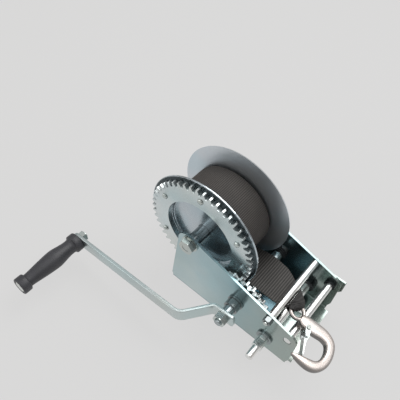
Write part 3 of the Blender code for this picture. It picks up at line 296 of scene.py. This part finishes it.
def make_looks():
    # The sheet's colour holds painted light along its length and painted shade on the back of the base floor.
    LOOKS["plate"] = zinc_plate("zinc_sheet", (0.56, 0.67, 0.685), (0.42, 0.545, 0.575), (0.14, 0.24),
                                painted_light_fade=((0.62, 0.73, 0.75), (0.72, 0.665, 0.60)),
                                painted_base_shade=(112.0, 124.0, 3.5))
    LOOKS["gear"] = zinc_plate("zinc_gear", (0.78, 0.82, 0.82), (0.66, 0.72, 0.73), (0.18, 0.28))
    LOOKS["drum"] = zinc_plate("zinc_spun", (0.60, 0.65, 0.69), (0.48, 0.54, 0.58), (0.16, 0.28))
    # The near flange's outer band is drawn darker as painted shade.
    LOOKS["near_flange"] = zinc_plate("zinc_spun_near", (0.62, 0.67, 0.71), (0.50, 0.56, 0.60), (0.16, 0.26),
                                      painted_shade_band=(70.5, 82.2))
    LOOKS["far_flange"] = zinc_plate("zinc_spun_far", (0.70, 0.74, 0.78), (0.60, 0.65, 0.69), (0.34, 0.42))
    LOOKS["fixing"] = zinc_plate("zinc_fixing", (0.66, 0.69, 0.66), (0.50, 0.54, 0.52), (0.10, 0.2))
    LOOKS["shaft"] = zinc_plate("ground_shaft", (0.42, 0.46, 0.47), (0.32, 0.36, 0.37), (0.14, 0.24))
    LOOKS["bright"] = zinc_plate("bright_rod", (0.86, 0.85, 0.83), (0.76, 0.76, 0.75), (0.16, 0.24),
                                 brushed=(1.0, 0.05, 1.0))
    LOOKS["arm"] = zinc_plate("zinc_bar", (0.60, 0.66, 0.65), (0.50, 0.56, 0.56), (0.24, 0.34), 0.92)
    LOOKS["dark"] = zinc_plate("blackened_steel", (0.05, 0.055, 0.06), (0.025, 0.028, 0.03), (0.2, 0.35), 0.8)
    LOOKS["bush"] = zinc_plate("plated_bush", (0.32, 0.345, 0.345), (0.19, 0.205, 0.21), (0.16, 0.28), 0.9)
    # The hook's sides are drawn dark as painted shade.
    LOOKS["forged"] = zinc_plate("forged_hook", (0.74, 0.67, 0.63), (0.62, 0.56, 0.53), (0.26, 0.38), 0.75,
                                 painted_side_shade=(0.20, 0.19, 0.185))
    LOOKS["latch"] = zinc_plate("latch_sheet", (0.74, 0.77, 0.77), (0.60, 0.65, 0.66), (0.18, 0.28))
    LOOKS["roll"] = webbing("webbing_wound", (0.008, 0.007, 0.006), (0.095, 0.083, 0.075))
    LOOKS["strap"] = webbing("webbing_out", (0.002, 0.002, 0.002), (0.13, 0.122, 0.113))
    # A darker copy of the lead-out's webbing: painted shade on the strap's folded end and loop.
    LOOKS["strap_end"] = webbing("webbing_end_painted_shade", (0.003, 0.003, 0.003), (0.034, 0.031, 0.030))
    LOOKS["grip"] = moulded("moulded_grip", (0.040, 0.040, 0.045))


# ---------------------------------------------------------------- mesh helpers

def piece(name, bm, look, body, replaces=(), smooth=40.0, bevel=0.0):
    """A bmesh in millimetres becomes a shown piece that rides on a CAD body."""
    bmesh.ops.recalc_face_normals(bm, faces=bm.faces)
    bmesh.ops.scale(bm, vec=(MM, MM, MM), verts=bm.verts)
    mesh = bpy.data.meshes.new(name)
    bm.to_mesh(mesh)
    bm.free()
    mesh.materials.append(LOOKS[look])
    mesh.shade_smooth()
    mesh.set_sharp_from_angle(angle=math.radians(smooth))
    made = bpy.data.objects.new(name, mesh)
    bpy.context.scene.collection.objects.link(made)
    if bevel:
        soften(made, bevel)
    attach(made, body)
    if replaces:
        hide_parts(*replaces)
    return made


def soften(made, width, segments=2, limit=35.0):
    """Rounds the hard edges, so that they catch the light."""
    bevel = made.modifiers.new("edges", "BEVEL")
    bevel.width = width * MM
    bevel.segments = segments
    bevel.limit_method = "ANGLE"
    bevel.angle_limit = math.radians(limit)
    bevel.harden_normals = True
    bevel.use_clamp_overlap = True


def polar(radius, degrees):
    angle = math.radians(degrees)
    return (radius * math.cos(angle), radius * math.sin(angle))


def lathe(profile, place, segments=96, wobble=None, rib_height=None):
    """A (radius, y) profile turned about the Y axis through place; radius 0 at both ends makes a solid."""
    bm = bmesh.new()
    layer = bm.verts.layers.float.new("rib")
    solid = profile[0][0] == 0 and profile[-1][0] == 0
    rows = profile[1:-1] if solid else profile
    rings = []
    for index, (radius, y) in enumerate(rows):
        ring = []
        for k in range(segments):
            grow = wobble(index, k, radius, y) if wobble else 0.0
            dx, dz = polar(radius + grow, 360.0 * k / segments)
            ring.append(bm.verts.new((place.x + dx, y, place.z + dz)))
            ring[-1][layer] = rib_height(index, k) if rib_height else 0.0
        rings.append(ring)
    pairs = list(zip(rings, rings[1:]))
    if solid:
        for ring, y in ((rings[0], profile[0][1]), (rings[-1], profile[-1][1])):
            tip = bm.verts.new((place.x, y, place.z))
            for k in range(segments):
                bm.faces.new((ring[k], ring[(k + 1) % segments], tip))
    else:
        pairs.append((rings[-1], rings[0]))
    for a, b in pairs:
        for k in range(segments):
            m = (k + 1) % segments
            bm.faces.new((a[k], a[m], b[m], b[k]))
    return bm


def sweep(path, sections, closed=False):
    """Rings of (place, side, up) joined by quads."""
    bm = bmesh.new()
    rings = [[bm.verts.new(place + side * a + up * b) for a, b in outline]
             for (place, side, up), outline in zip(path, sections)]
    pairs = list(zip(rings, rings[1:]))
    if closed:
        pairs.append((rings[-1], rings[0]))
    else:
        bm.faces.new(rings[0])
        bm.faces.new(list(reversed(rings[-1])))
    for a, b in pairs:
        for k in range(len(a)):
            m = (k + 1) % len(a)
            bm.faces.new((a[k], a[m], b[m], b[k]))
    return bm


def ellipse(half_a, half_b, sides):
    return [(half_a * math.cos(2 * math.pi * k / sides), half_b * math.sin(2 * math.pi * k / sides))
            for k in range(sides)]


def smooth_curve(points, steps):
    """A Catmull-Rom curve through the points."""
    ends = [points[0] * 2 - points[1]] + list(points) + [points[-1] * 2 - points[-2]]
    curve = []
    for i in range(1, len(ends) - 2):
        a, b, c, d = ends[i - 1:i + 3]
        for k in range(steps):
            u = k / steps
            curve.append(((b * 2) + (c - a) * u + (a * 2 - b * 5 + c * 4 - d) * u * u
                          + (b * 3 - a - c * 3 + d) * u ** 3) * 0.5)
    curve.append(points[-1])
    return curve


def add_mesh(target, other):
    """Adds another bmesh's shells to target."""
    held = bpy.data.meshes.new("held")
    other.to_mesh(held)
    other.free()
    target.from_mesh(held)
    bpy.data.meshes.remove(held)


# ---------------------------------------------------------------- strap

def rib(distance, pitch):
    """Height of the webbing's cross ribs, 0 to 1, at a distance along the strap."""
    return 0.5 - 0.5 * math.cos(2 * math.pi * distance / pitch)


def build_roll():
    """The wound strap: layered edges, and a ribbed outer turn."""
    layers = int((ROLL_OUTER - STRAP_THICK - ROLL_INNER) / STRAP_THICK)
    pitch = (ROLL_OUTER - STRAP_THICK - ROLL_INNER) / layers
    near = []
    far = []
    for i in range(layers):
        r0 = ROLL_INNER + i * pitch
        shift = noise.noise(Vector((i * 3.7, 0.5, 0.0))) * 0.5
        for share, out in ((0.06, 0.55), (0.3, 0.0), (0.7, 0.0), (0.94, 0.55)):
            near.append((r0 + share * pitch, STRAP_NEAR + 0.9 + out + shift))
            far.append((r0 + share * pitch, STRAP_FAR - 0.9 - out + shift))

    def drift(index, k, radius, y):
        return 0.12 * math.sin(2 * math.pi * k / 48 + radius * 0.9)
    # The rib values are painted shade: 0.1 at each wound layer's edges darkens the seams between layers, 0.5
    # across their middles.
    winding = lathe(near + list(reversed(far)), DRUM, 144, drift,
                    lambda index, k: (0.1, 0.5, 0.5, 0.1)[index % 4])
    piece("strap_winding", winding, "roll", "drum", ("strap_roll",), 60)
    segments = round(2 * math.pi * ROLL_OUTER / ROLL_RIB) * 6
    columns = 25
    outer = []
    for c in range(columns):
        share = c / (columns - 1)
        y = STRAP_NEAR + 0.25 + (STRAP_FAR - STRAP_NEAR - 0.5) * share
        edge = min(share, 1 - share) * (STRAP_FAR - STRAP_NEAR)
        outer.append((ROLL_OUTER - 0.35 - 0.35 * max(0.0, 1.0 - edge / 1.2) ** 2, y))
    inside = ROLL_OUTER - STRAP_THICK - 0.1
    profile = outer + [(inside, STRAP_FAR - 0.3), (inside, STRAP_NEAR + 0.3)]

    def ribbed(index, k, radius, y):
        if index >= columns:
            return 0.0
        turn = 2 * math.pi * k / segments
        sag = noise.noise(Vector((math.cos(turn) * 1.5, y * 0.03, math.sin(turn) * 1.5))) * 0.25
        return 0.42 * rib(k, 6) - 0.1 + min(sag, 0.1)
    outer = lathe(profile, DRUM, segments, ribbed, lambda index, k: rib(k, 6))
    piece("strap_outer_turn", outer, "roll", "drum", ("strap_roll",), 80)


def tangent(first, second):
    ax, az, ra = first
    bx, bz, rb = second
    span = Vector((bx - ax, bz - az))
    heading = math.atan2(span.y, span.x) - math.asin((rb - ra) / span.length)
    normal = Vector((-math.sin(heading), math.cos(heading)))
    return Vector((ax, az)) - normal * ra, Vector((bx, bz)) - normal * rb, heading


def strap_spans():
    """What the strap bears on, as (x, z, signed radius), and its straight spans between."""
    half = STRAP_THICK / 2 + GAP
    slope = math.radians(HOOK_SLOPE)
    turns = [
        (DRUM.x, DRUM.z, ROLL_OUTER + half),
        (SHAFT.x, SHAFT.z, -(7.0 + half)),
        (TIE.x, TIE.z, 5.0 + half),
        (EYE.x - EYE_RADIUS * math.cos(slope), EYE.z + EYE_RADIUS * math.sin(slope), -(EYE_WIRE + half)),
    ]
    return turns, [tangent(a, b) for a, b in zip(turns, turns[1:])]


def strap_edges(x):
    for (x0, n0, f0), (x1, n1, f1) in zip(STRAP_EDGES, STRAP_EDGES[1:]):
        if x <= x1:
            share = max((x - x0) / (x1 - x0), 0.0)
            return n0 + (n1 - n0) * share, f0 + (f1 - f0) * share
    return STRAP_EDGES[-1][1:]


def strap_row(x, z, columns, inset=0.0):
    near, far = strap_edges(x)
    return [Vector((x, near + inset + (far - near - 2 * inset) * c / (columns - 1), z))
            for c in range(columns)]


def hook_turn():
    """How the hook's own axes stand before its yaw."""
    return (Matrix.Rotation(math.radians(HOOK_SLOPE), 4, "Y")
            @ Matrix.Rotation(math.radians(-HOOK_ROLL), 4, "X"))


def eye_axes():
    """Forward, towards the far side and upward in the plane of the hook's eye."""
    turn = hook_turn().to_3x3()
    return turn.col[0], turn.col[1], turn.col[2]


def loop_row(wrap, columns):
    """A row of the loop, wrap degrees round the wire of the eye, from outside to the hole."""
    ahead, side, normal = eye_axes()
    lift = math.radians(wrap)
    row = []
    for c in range(columns):
        share = c / (columns - 1)
        turn = math.radians(LOOP_NEAR + (LOOP_FAR - LOOP_NEAR) * share)
        out = side * math.sin(turn) - ahead * math.cos(turn)
        radius = EYE_WIRE + GAP + STRAP_THICK / 2 + 0.2
        if math.cos(lift) < 0:
            radius += LOOP_SAG * -math.cos(lift) * (1.0 - abs(2 * share - 1) ** 1.5)
        row.append(EYE + out * (EYE_RADIUS + radius * math.cos(lift)) + normal * (radius * math.sin(lift)))
    return row


def clear_of_eye(place):
    """Keeps a point of the strap's middle layer off the wire of the eye."""
    normal = eye_axes()[2]
    flat = place - EYE
    flat -= normal * flat.dot(normal)
    core = EYE + flat.normalized() * EYE_RADIUS
    away = place - core
    return core + away.normalized() * max(away.length, EYE_WIRE + GAP + STRAP_THICK / 2 + 0.45)


def lead_rows(columns):
    """The strap's middle layer: off the roll, over the shaft and under the tie, to the bend."""
    turns, spans = strap_spans()
    rows = []
    x, z, radius = turns[0]
    for k in range(9):
        angle = spans[0][2] + math.radians(-22.0 + 22.0 * k / 8)
        rows.append(strap_row(x + radius * math.sin(angle), z - radius * math.cos(angle), columns))
    for i, (leave, meet, heading) in enumerate(spans[:2]):
        for k in range(1, 13):
            place = leave.lerp(meet, k / 12)
            rows.append(strap_row(place.x, place.y, columns))
        x, z, radius = turns[i + 1]
        for k in range(1, 5):
            angle = heading + (spans[i + 1][2] - heading) * k / 4
            rows.append(strap_row(x + radius * math.sin(angle), z - radius * math.cos(angle), columns))
    rows.append(strap_row(HINGE_X - 0.25, hinge_height(), columns))
    return rows


def hinge_height():
    leave, _, heading = strap_spans()[1][2]
    return leave.y + math.tan(heading) * (HINGE_X - leave.x)


def loop_rows(columns):
    """From the bend, over the wire of the eye, down through it and back under."""
    start = strap_row(HINGE_X + 0.45, hinge_height() + 0.1, columns)
    shoulder = [SHOULDER_NEAR.lerp(SHOULDER_FAR, c / (columns - 1)) for c in range(columns)]
    top = loop_row(LOOP_START, columns)
    rows = [start]
    for share in (0.25, 0.45, 0.62, 0.8, 1.0):
        rows.append([a.lerp(b, share) for a, b in zip(start, shoulder)])
    for share in (0.35, 0.7):
        rows.append([a.lerp(b, share) for a, b in zip(shoulder, top)])
    rows[1:] = [[clear_of_eye(place) for place in row] for row in rows[1:]]
    for k in range(20):
        rows.append(loop_row(LOOP_START + (LOOP_END - LOOP_START) * k / 19, columns))
    end = [place - Vector((0, 0, STRAP_THICK + GAP + 0.6)) for place in start]
    rows.append([a.lerp(b, 0.5) - Vector((0, 0, 0.6)) for a, b in zip(rows[-1], end)])
    return rows + [end]


def fold_rows(columns):
    """The strap's end, folded back under the lead-out and sewn to it."""
    turns, spans = strap_spans()
    leave, meet, _ = spans[1]
    under = STRAP_THICK + GAP + 0.3
    rows = []
    for k in range(7):
        x = FOLD_END_X + (118.0 - FOLD_END_X) * k / 6
        share = (x - leave.x) / (meet.x - leave.x)
        rows.append(strap_row(x, leave.y + (meet.y - leave.y) * share - under, columns, 1.0))
    x, z, radius = turns[2]
    for k in range(1, 4):
        angle = spans[1][2] + (spans[2][2] - spans[1][2]) * k / 3
        out = radius + under
        rows.append(strap_row(x + out * math.sin(angle), z - out * math.cos(angle), columns, 1.0))
    return rows


def even_rows(rows, step):
    """The rows again, a step apart along the middle column, with the distance of each."""
    middle = len(rows[0]) // 2
    distance = [0.0]
    for a, b in zip(rows, rows[1:]):
        distance.append(distance[-1] + (b[middle] - a[middle]).length)
    total = distance[-1]
    count = int(total / step)
    out = []
    i = 0
    for k in range(count + 1):
        want = total * k / count
        while i < len(rows) - 2 and distance[i + 1] < want:
            i += 1
        share = (want - distance[i]) / max(distance[i + 1] - distance[i], 1e-6)
        out.append((want, [a.lerp(b, share) for a, b in zip(rows[i], rows[i + 1])]))
    return out


def ribbed_sheet(rows):
    """A closed webbing sheet about a fine grid of middle points, with ribs across it."""
    rows = even_rows(rows, LEAD_RIB / 6)
    columns = len(rows[0][1])
    bm = bmesh.new()
    layer = bm.verts.layers.float.new("rib")
    upper = []
    lower = []
    last = len(rows) - 1
    for i, (distance, row) in enumerate(rows):
        before = rows[max(i - 2, 0)][1]
        after = rows[min(i + 2, last)][1]
        height = rib(distance, LEAD_RIB)
        top = []
        bottom = []
        for c, place in enumerate(row):
            run = after[c] - before[c]
            side = row[min(c + 1, columns - 1)] - row[max(c - 1, 0)]
            normal = run.cross(side).normalized()
            thick = STRAP_THICK / 2 - 0.22 + 0.30 * height
            thick *= (0.55, 0.9)[min(c, columns - 1 - c)] if min(c, columns - 1 - c) < 2 else 1.0
            top.append(bm.verts.new(place + normal * thick))
            bottom.append(bm.verts.new(place - normal * thick))
            top[-1][layer] = bottom[-1][layer] = height
        upper.append(top)
        lower.append(bottom)
    for i in range(last):
        for c in range(columns - 1):
            bm.faces.new((upper[i][c], upper[i][c + 1], upper[i + 1][c + 1], upper[i + 1][c]))
            bm.faces.new((lower[i][c], lower[i + 1][c], lower[i + 1][c + 1], lower[i][c + 1]))
        for c in (0, columns - 1):
            bm.faces.new((upper[i][c], upper[i + 1][c], lower[i + 1][c], lower[i][c]))
    for i in (0, last):
        for c in range(columns - 1):
            bm.faces.new((upper[i][c], upper[i][c + 1], lower[i][c + 1], lower[i][c]))
    return bm


def build_strap_end():
    for name, look, rows, body, node in (
            ("strap_out", "strap", lead_rows(41), "frame", "strap_lead_out"),
            ("strap_folded_end", "strap_end", fold_rows(41), "frame", "strap_fold"),
            ("strap_loop", "strap_end", loop_rows(41), "hook", "strap_end_loop")):
        piece(name, ribbed_sheet(rows), look, body, (node,), 80)


# ---------------------------------------------------------------- hook

HOOK_LINE = (
    # s, t, half width in the plane, half thickness
    (8.2, 0.6, 4.6, 3.6),
    (14.0, 4.4, 8.4, 4.3),
    (23.4, 11.4, 9.2, 4.9),
    (34.6, 20.6, 8.0, 5.2),
    (45.0, 23.2, 6.5, 5.4),
    (54.0, 18.4, 5.6, 5.5),
    (61.2, 10.0, 5.5, 5.5),
    (65.0, 0.4, 5.8, 5.5),
    (64.6, -8.4, 6.2, 5.5),
    (60.8, -14.8, 6.2, 5.4),
    (55.6, -20.0, 5.2, 5.2),
    (49.2, -25.4, 3.6, 4.2),
    (43.8, -29.6, 1.7, 2.4),
)


SQUARENESS = 0.56               # 1 is an ellipse, and lower is squarer


def squarish(half_a, half_b, sides):
    """A closed outline between an ellipse and a rectangle."""
    points = []
    for k in range(sides):
        turn = 2 * math.pi * (k + 0.5) / sides
        c, d = math.cos(turn), math.sin(turn)
        points.append((math.copysign(half_a * abs(c) ** SQUARENESS, c),
                       math.copysign(half_b * abs(d) ** SQUARENESS, d)))
    return points


def hook_matrix():
    return Matrix.Translation(EYE) @ hook_turn() @ Matrix.Rotation(math.radians(HOOK_YAW), 4, "Z")


def build_hook():
    centre_line = smooth_curve([Vector((s, t, 0)) for s, t, w, h in HOOK_LINE], 8)
    size = smooth_curve([Vector((w, h, 0)) for s, t, w, h in HOOK_LINE], 8)
    normal = Vector((0, 0, 1))
    path = []
    sections = []
    for i, point in enumerate(centre_line):
        run = (centre_line[min(i + 1, len(centre_line) - 1)] - centre_line[max(i - 1, 0)]).normalized()
        path.append((point, normal.cross(run), normal))
        sections.append(squarish(size[i].x, size[i].y, 28))
    bm = sweep(path, sections)
    round_tip = Matrix.Translation(centre_line[-1]) @ Matrix.Diagonal((0.8, 0.8, 1.15, 1.0))
    bmesh.ops.create_uvsphere(bm, u_segments=20, v_segments=12, radius=1.9, matrix=round_tip)
    ring = []
    ring_sections = []
    for k in range(72):
        x, y = polar(1.0, 5.0 * k)
        out = Vector((x, y, 0))
        ring.append((out * EYE_RADIUS, out, normal))
        ring_sections.append(ellipse(EYE_WIRE, EYE_WIRE, 24))
    add_mesh(bm, sweep(ring, ring_sections, closed=True))
    bm.transform(hook_matrix())
    made = piece("hook_forging", bm, "forged", "hook", ("hook",), 180)
    remesh = made.modifiers.new("one_skin", "REMESH")
    remesh.mode = "VOXEL"
    remesh.voxel_size = 0.5 * MM
    remesh.use_smooth_shade = True
    blend = made.modifiers.new("forged_blend", "SMOOTH")
    blend.factor = 0.5
    blend.iterations = 5
    apply_modifiers(made)


def apply_modifiers(made):
    graph = bpy.context.evaluated_depsgraph_get()
    graph.update()
    done = bpy.data.meshes.new_from_object(made.evaluated_get(graph))
    made.modifiers.clear()
    made.data = done


# ---------------------------------------------------------------- grip and crank

def build_grip():
    low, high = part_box("grip")
    seat = high[1] / MM
    end = low[1] / MM
    bore = 5.4
    profile = [(bore, seat), (11.6, seat), (12.4, seat - 0.25), (13.0, seat - 1.0), (13.0, seat - 8.6),
               (12.8, seat - 9.4), (12.0, seat - 10.1), (10.8, seat - 10.4), (10.3, seat - 11.2)]
    waist = [Vector(point) for point in ((10.0, 14.0), (10.1, 20.0), (11.2, 28.0), (12.5, 37.0), (12.5, 45.0),
                                         (11.5, 57.0), (10.2, 69.0), (9.2, 78.0), (8.9, 83.6))]
    profile += [(point.x, seat - point.y) for point in smooth_curve(waist, 4)]
    profile += [(9.6, end + 12.1), (10.8, end + 11.8), (11.5, end + 11.2), (11.9, end + 10.2),
                (11.9, end + 1.5), (11.6, end + 0.5), (11.0, end), (9.3, end), (8.8, end + 0.4),
                (8.7, end + 3.0), (bore, end + 3.0)]
    piece("grip_moulding", lathe(profile, GRIP, 96), "grip", "grip", ("grip",), 50)


def arm_path():
    """The crank arm's centre line as (along, y), closely spaced round its two ends."""
    start = Vector((-ARM_HUB_TAIL, ARM_HUB_Y))
    end = Vector((CRANK_LENGTH + ARM_WIDTH / 2, ARM_OUT_Y))
    corners = [start, Vector((15.0, ARM_HUB_Y)), Vector((42.0, ARM_OUT_Y)), end]
    points = [start + Vector((4.5 * (1 - math.cos(k * math.pi / 16)), 0)) for k in range(9)]
    for i, radius in ((1, 9.0), (2, 16.0)):
        corner = corners[i]
        back = (corners[i - 1] - corner).normalized()
        ahead = (corners[i + 1] - corner).normalized()
        reach = radius / math.tan(back.angle(ahead) / 2)
        first = corner + back * reach
        last = corner + ahead * reach
        for k in range(17):
            u = k / 16
            points.append(first * (1 - u) ** 2 + corner * 2 * u * (1 - u) + last * u * u)
    points += [end - Vector((ARM_WIDTH / 2 * (1 - math.sin(k * math.pi / 32)), 0)) for k in range(17)]
    return points


def arm_half_width(along):
    """Half the bar's width: corners of 4.5 mm at the shaft, a half circle at the grip."""
    half = ARM_WIDTH / 2
    tail = 4.5 - (along + ARM_HUB_TAIL)
    past = along - CRANK_LENGTH
    if tail > 0:
        return half - 4.5 + math.sqrt(max(4.5 ** 2 - tail ** 2, 0.0))
    if past > 0:
        return math.sqrt(max(half ** 2 - past ** 2, 0.04))
    return half


def build_arm():
    """The crank's flat bar, with its edges rolled round."""
    points = arm_path()
    along = Vector((math.cos(math.radians(CRANK_ANGLE)), 0, math.sin(math.radians(CRANK_ANGLE))))
    across = Vector((-along.z, 0, along.x))
    out = Vector((0, 1, 0))
    half_t = ARM_THICK / 2
    path = []
    sections = []
    origin = Vector((SHAFT.x, 0, SHAFT.z))
    for i, point in enumerate(points):
        before = points[max(i - 1, 0)]
        after = points[min(i + 1, len(points) - 1)]
        run = (after - before).normalized()
        normal = along * (-run.y) + out * run.x
        half = arm_half_width(point.x)
        r = min(0.9, half * 0.5)
        outline = []
        for sx, sz, turn in ((1, 1, 0), (-1, 1, 90), (-1, -1, 180), (1, -1, 270)):
            for k in range(4):
                dx, dz = polar(r, turn + 30 * k)
                outline.append((sx * (half - r) + dx, sz * (half_t - r) + dz))
        path.append((origin + along * point.x + out * point.y, across, normal))
        sections.append(outline)
    piece("crank_bar", sweep(path, sections), "arm", "drive_shaft", ("crank_arm",), 50)


# ---------------------------------------------------------------- the CAD nodes that stay

def dress_nodes():
    """New materials for the nodes that are shown as the CAD made them."""
    nodes = frame["nodes"]
    looks = {
        "frame_channel": "plate", "far_side_doubler": "plate",
        "drum_near_flange": "near_flange", "drum_far_flange": "far_flange", "drum_barrel": "drum",
        "drum_hub_tube": "shaft",
        "ring_gear": "gear", "drive_pinion": "gear", "lay_gear": "gear", "low_gear_pinion": "gear",
        "ratchet_wheel": "gear", "pawl": "gear",
        "drive_shaft": "shaft", "low_gear_shaft": "bright",
        "tie_sleeve": "bright", "front_guide_rod": "bright",
        "shaft_spring": "dark", "shaft_retaining_ring": "dark", "low_shaft_retaining_ring": "dark",
        "low_shaft_collar": "dark", "guide_rod_collar": "dark", "shaft_spacer": "bush", "tie_nut": "bush",
        "hook": "forged", "hook_latch": "latch", "latch_pin": "fixing",
        "crank_arm": "arm", "grip": "grip", "strap_roll": "roll", "strap_lead_out": "strap",
        "strap_fold": "strap", "strap_end_loop": "strap",
    }
    for name, node in nodes.items():
        look = looks.get(name)
        if look is None:
            look = "bush" if "bush" in name else "fixing"
        node.data.materials.clear()
        node.data.materials.append(LOOKS[look])


def soften_nodes():
    """Small bevels on the CAD's sheared and machined edges."""
    widths = {"frame_channel": 0.5, "far_side_doubler": 0.4, "ring_gear": 0.35, "lay_gear": 0.35,
              "drive_pinion": 0.35, "low_gear_pinion": 0.35, "ratchet_wheel": 0.3, "pawl": 0.4,
              "hook_latch": 0.3, "drum_near_flange": 0.4, "tie_sleeve": 0.4, "drum_hub_tube": 0.4}
    for name, width in widths.items():
        weld = frame["nodes"][name].modifiers.new("weld", "WELD")
        weld.merge_threshold = 1e-6
        soften(frame["nodes"][name], width, limit=28.0)


# ---------------------------------------------------------------- stage

def build_stage():
    scene = bpy.context.scene
    floor_mesh = bpy.data.meshes.new("floor")
    reach = 6.0
    floor_mesh.from_pydata([(-reach, -reach, -0.001), (reach, -reach, -0.001), (reach, reach, -0.001),
                            (-reach, reach, -0.001)], [], [(0, 1, 2, 3)])
    floor = bpy.data.objects.new("floor", floor_mesh)
    g = Graph("pale_floor")
    g.set(Base_Color=(0.08, 0.08, 0.08, 1.0), Roughness=1.0, Emission_Color=(1.0, 0.995, 0.99, 1.0),
          Emission_Strength=0.615)
    g.shader.inputs["Specular IOR Level"].default_value = 0.0
    floor_mesh.materials.append(g.material)
    scene.collection.objects.link(floor)

    world = bpy.data.worlds.new("studio")
    scene.world = world
    world.use_nodes = True
    tree = world.node_tree
    background = tree.nodes["Background"]
    coords = tree.nodes.new("ShaderNodeTexCoord")
    split = tree.nodes.new("ShaderNodeSeparateXYZ")
    ramp = tree.nodes.new("ShaderNodeValToRGB")
    tree.links.new(coords.outputs["Generated"], split.inputs[0])
    tree.links.new(split.outputs["Z"], ramp.inputs["Fac"])
    stops = [(0.0, 0.42), (0.12, 0.30), (0.4, 0.62), (0.7, 1.0), (1.0, 1.12)]
    while len(ramp.color_ramp.elements) < len(stops):
        ramp.color_ramp.elements.new(0.5)
    for element, (place, value) in zip(ramp.color_ramp.elements, stops):
        element.position = place
        element.color = (value, value * 1.005, value * 1.01, 1.0)
    tree.links.new(ramp.outputs["Color"], background.inputs["Color"])
    background.inputs["Strength"].default_value = 0.62

    def area(name, place, target, size, power, colour=(1, 1, 1)):
        light = bpy.data.lights.new(name, "AREA")
        light.shape = "RECTANGLE"
        light.size, light.size_y = size
        light.energy = power
        light.color = colour
        lamp = bpy.data.objects.new(name, light)
        lamp.location = place
        aim = Vector(target) - Vector(place)
        lamp.rotation_euler = aim.to_track_quat("-Z", "Y").to_euler()
        scene.collection.objects.link(lamp)
    area("overhead_softbox", (0.15, 0.75, 1.5), (0.05, 0.0, 0.06), (1.6, 1.0), 16.0)
    area("front_fill", (-0.9, -1.3, 0.9), (0.05, 0.0, 0.06), (1.2, 1.2), 6.0)

    data = bpy.data.cameras.new("camera")
    data.lens = LENS
    data.sensor_width = 36.0
    data.clip_start = 0.01
    camera = bpy.data.objects.new("camera", data)
    columns = (CAMERA_RIGHT, CAMERA_UP, CAMERA_BACK, CAMERA_PLACE)
    camera.matrix_world = Matrix([[columns[c][r] for c in range(4)] for r in range(3)] + [[0, 0, 0, 1]])
    scene.collection.objects.link(camera)
    scene.camera = camera
    scene.view_settings.view_transform = "Standard"
    scene.view_settings.look = "None"


make_looks()
build_stage()
dress_nodes()
soften_nodes()
build_roll()
build_strap_end()
build_hook()
build_grip()
build_arm()
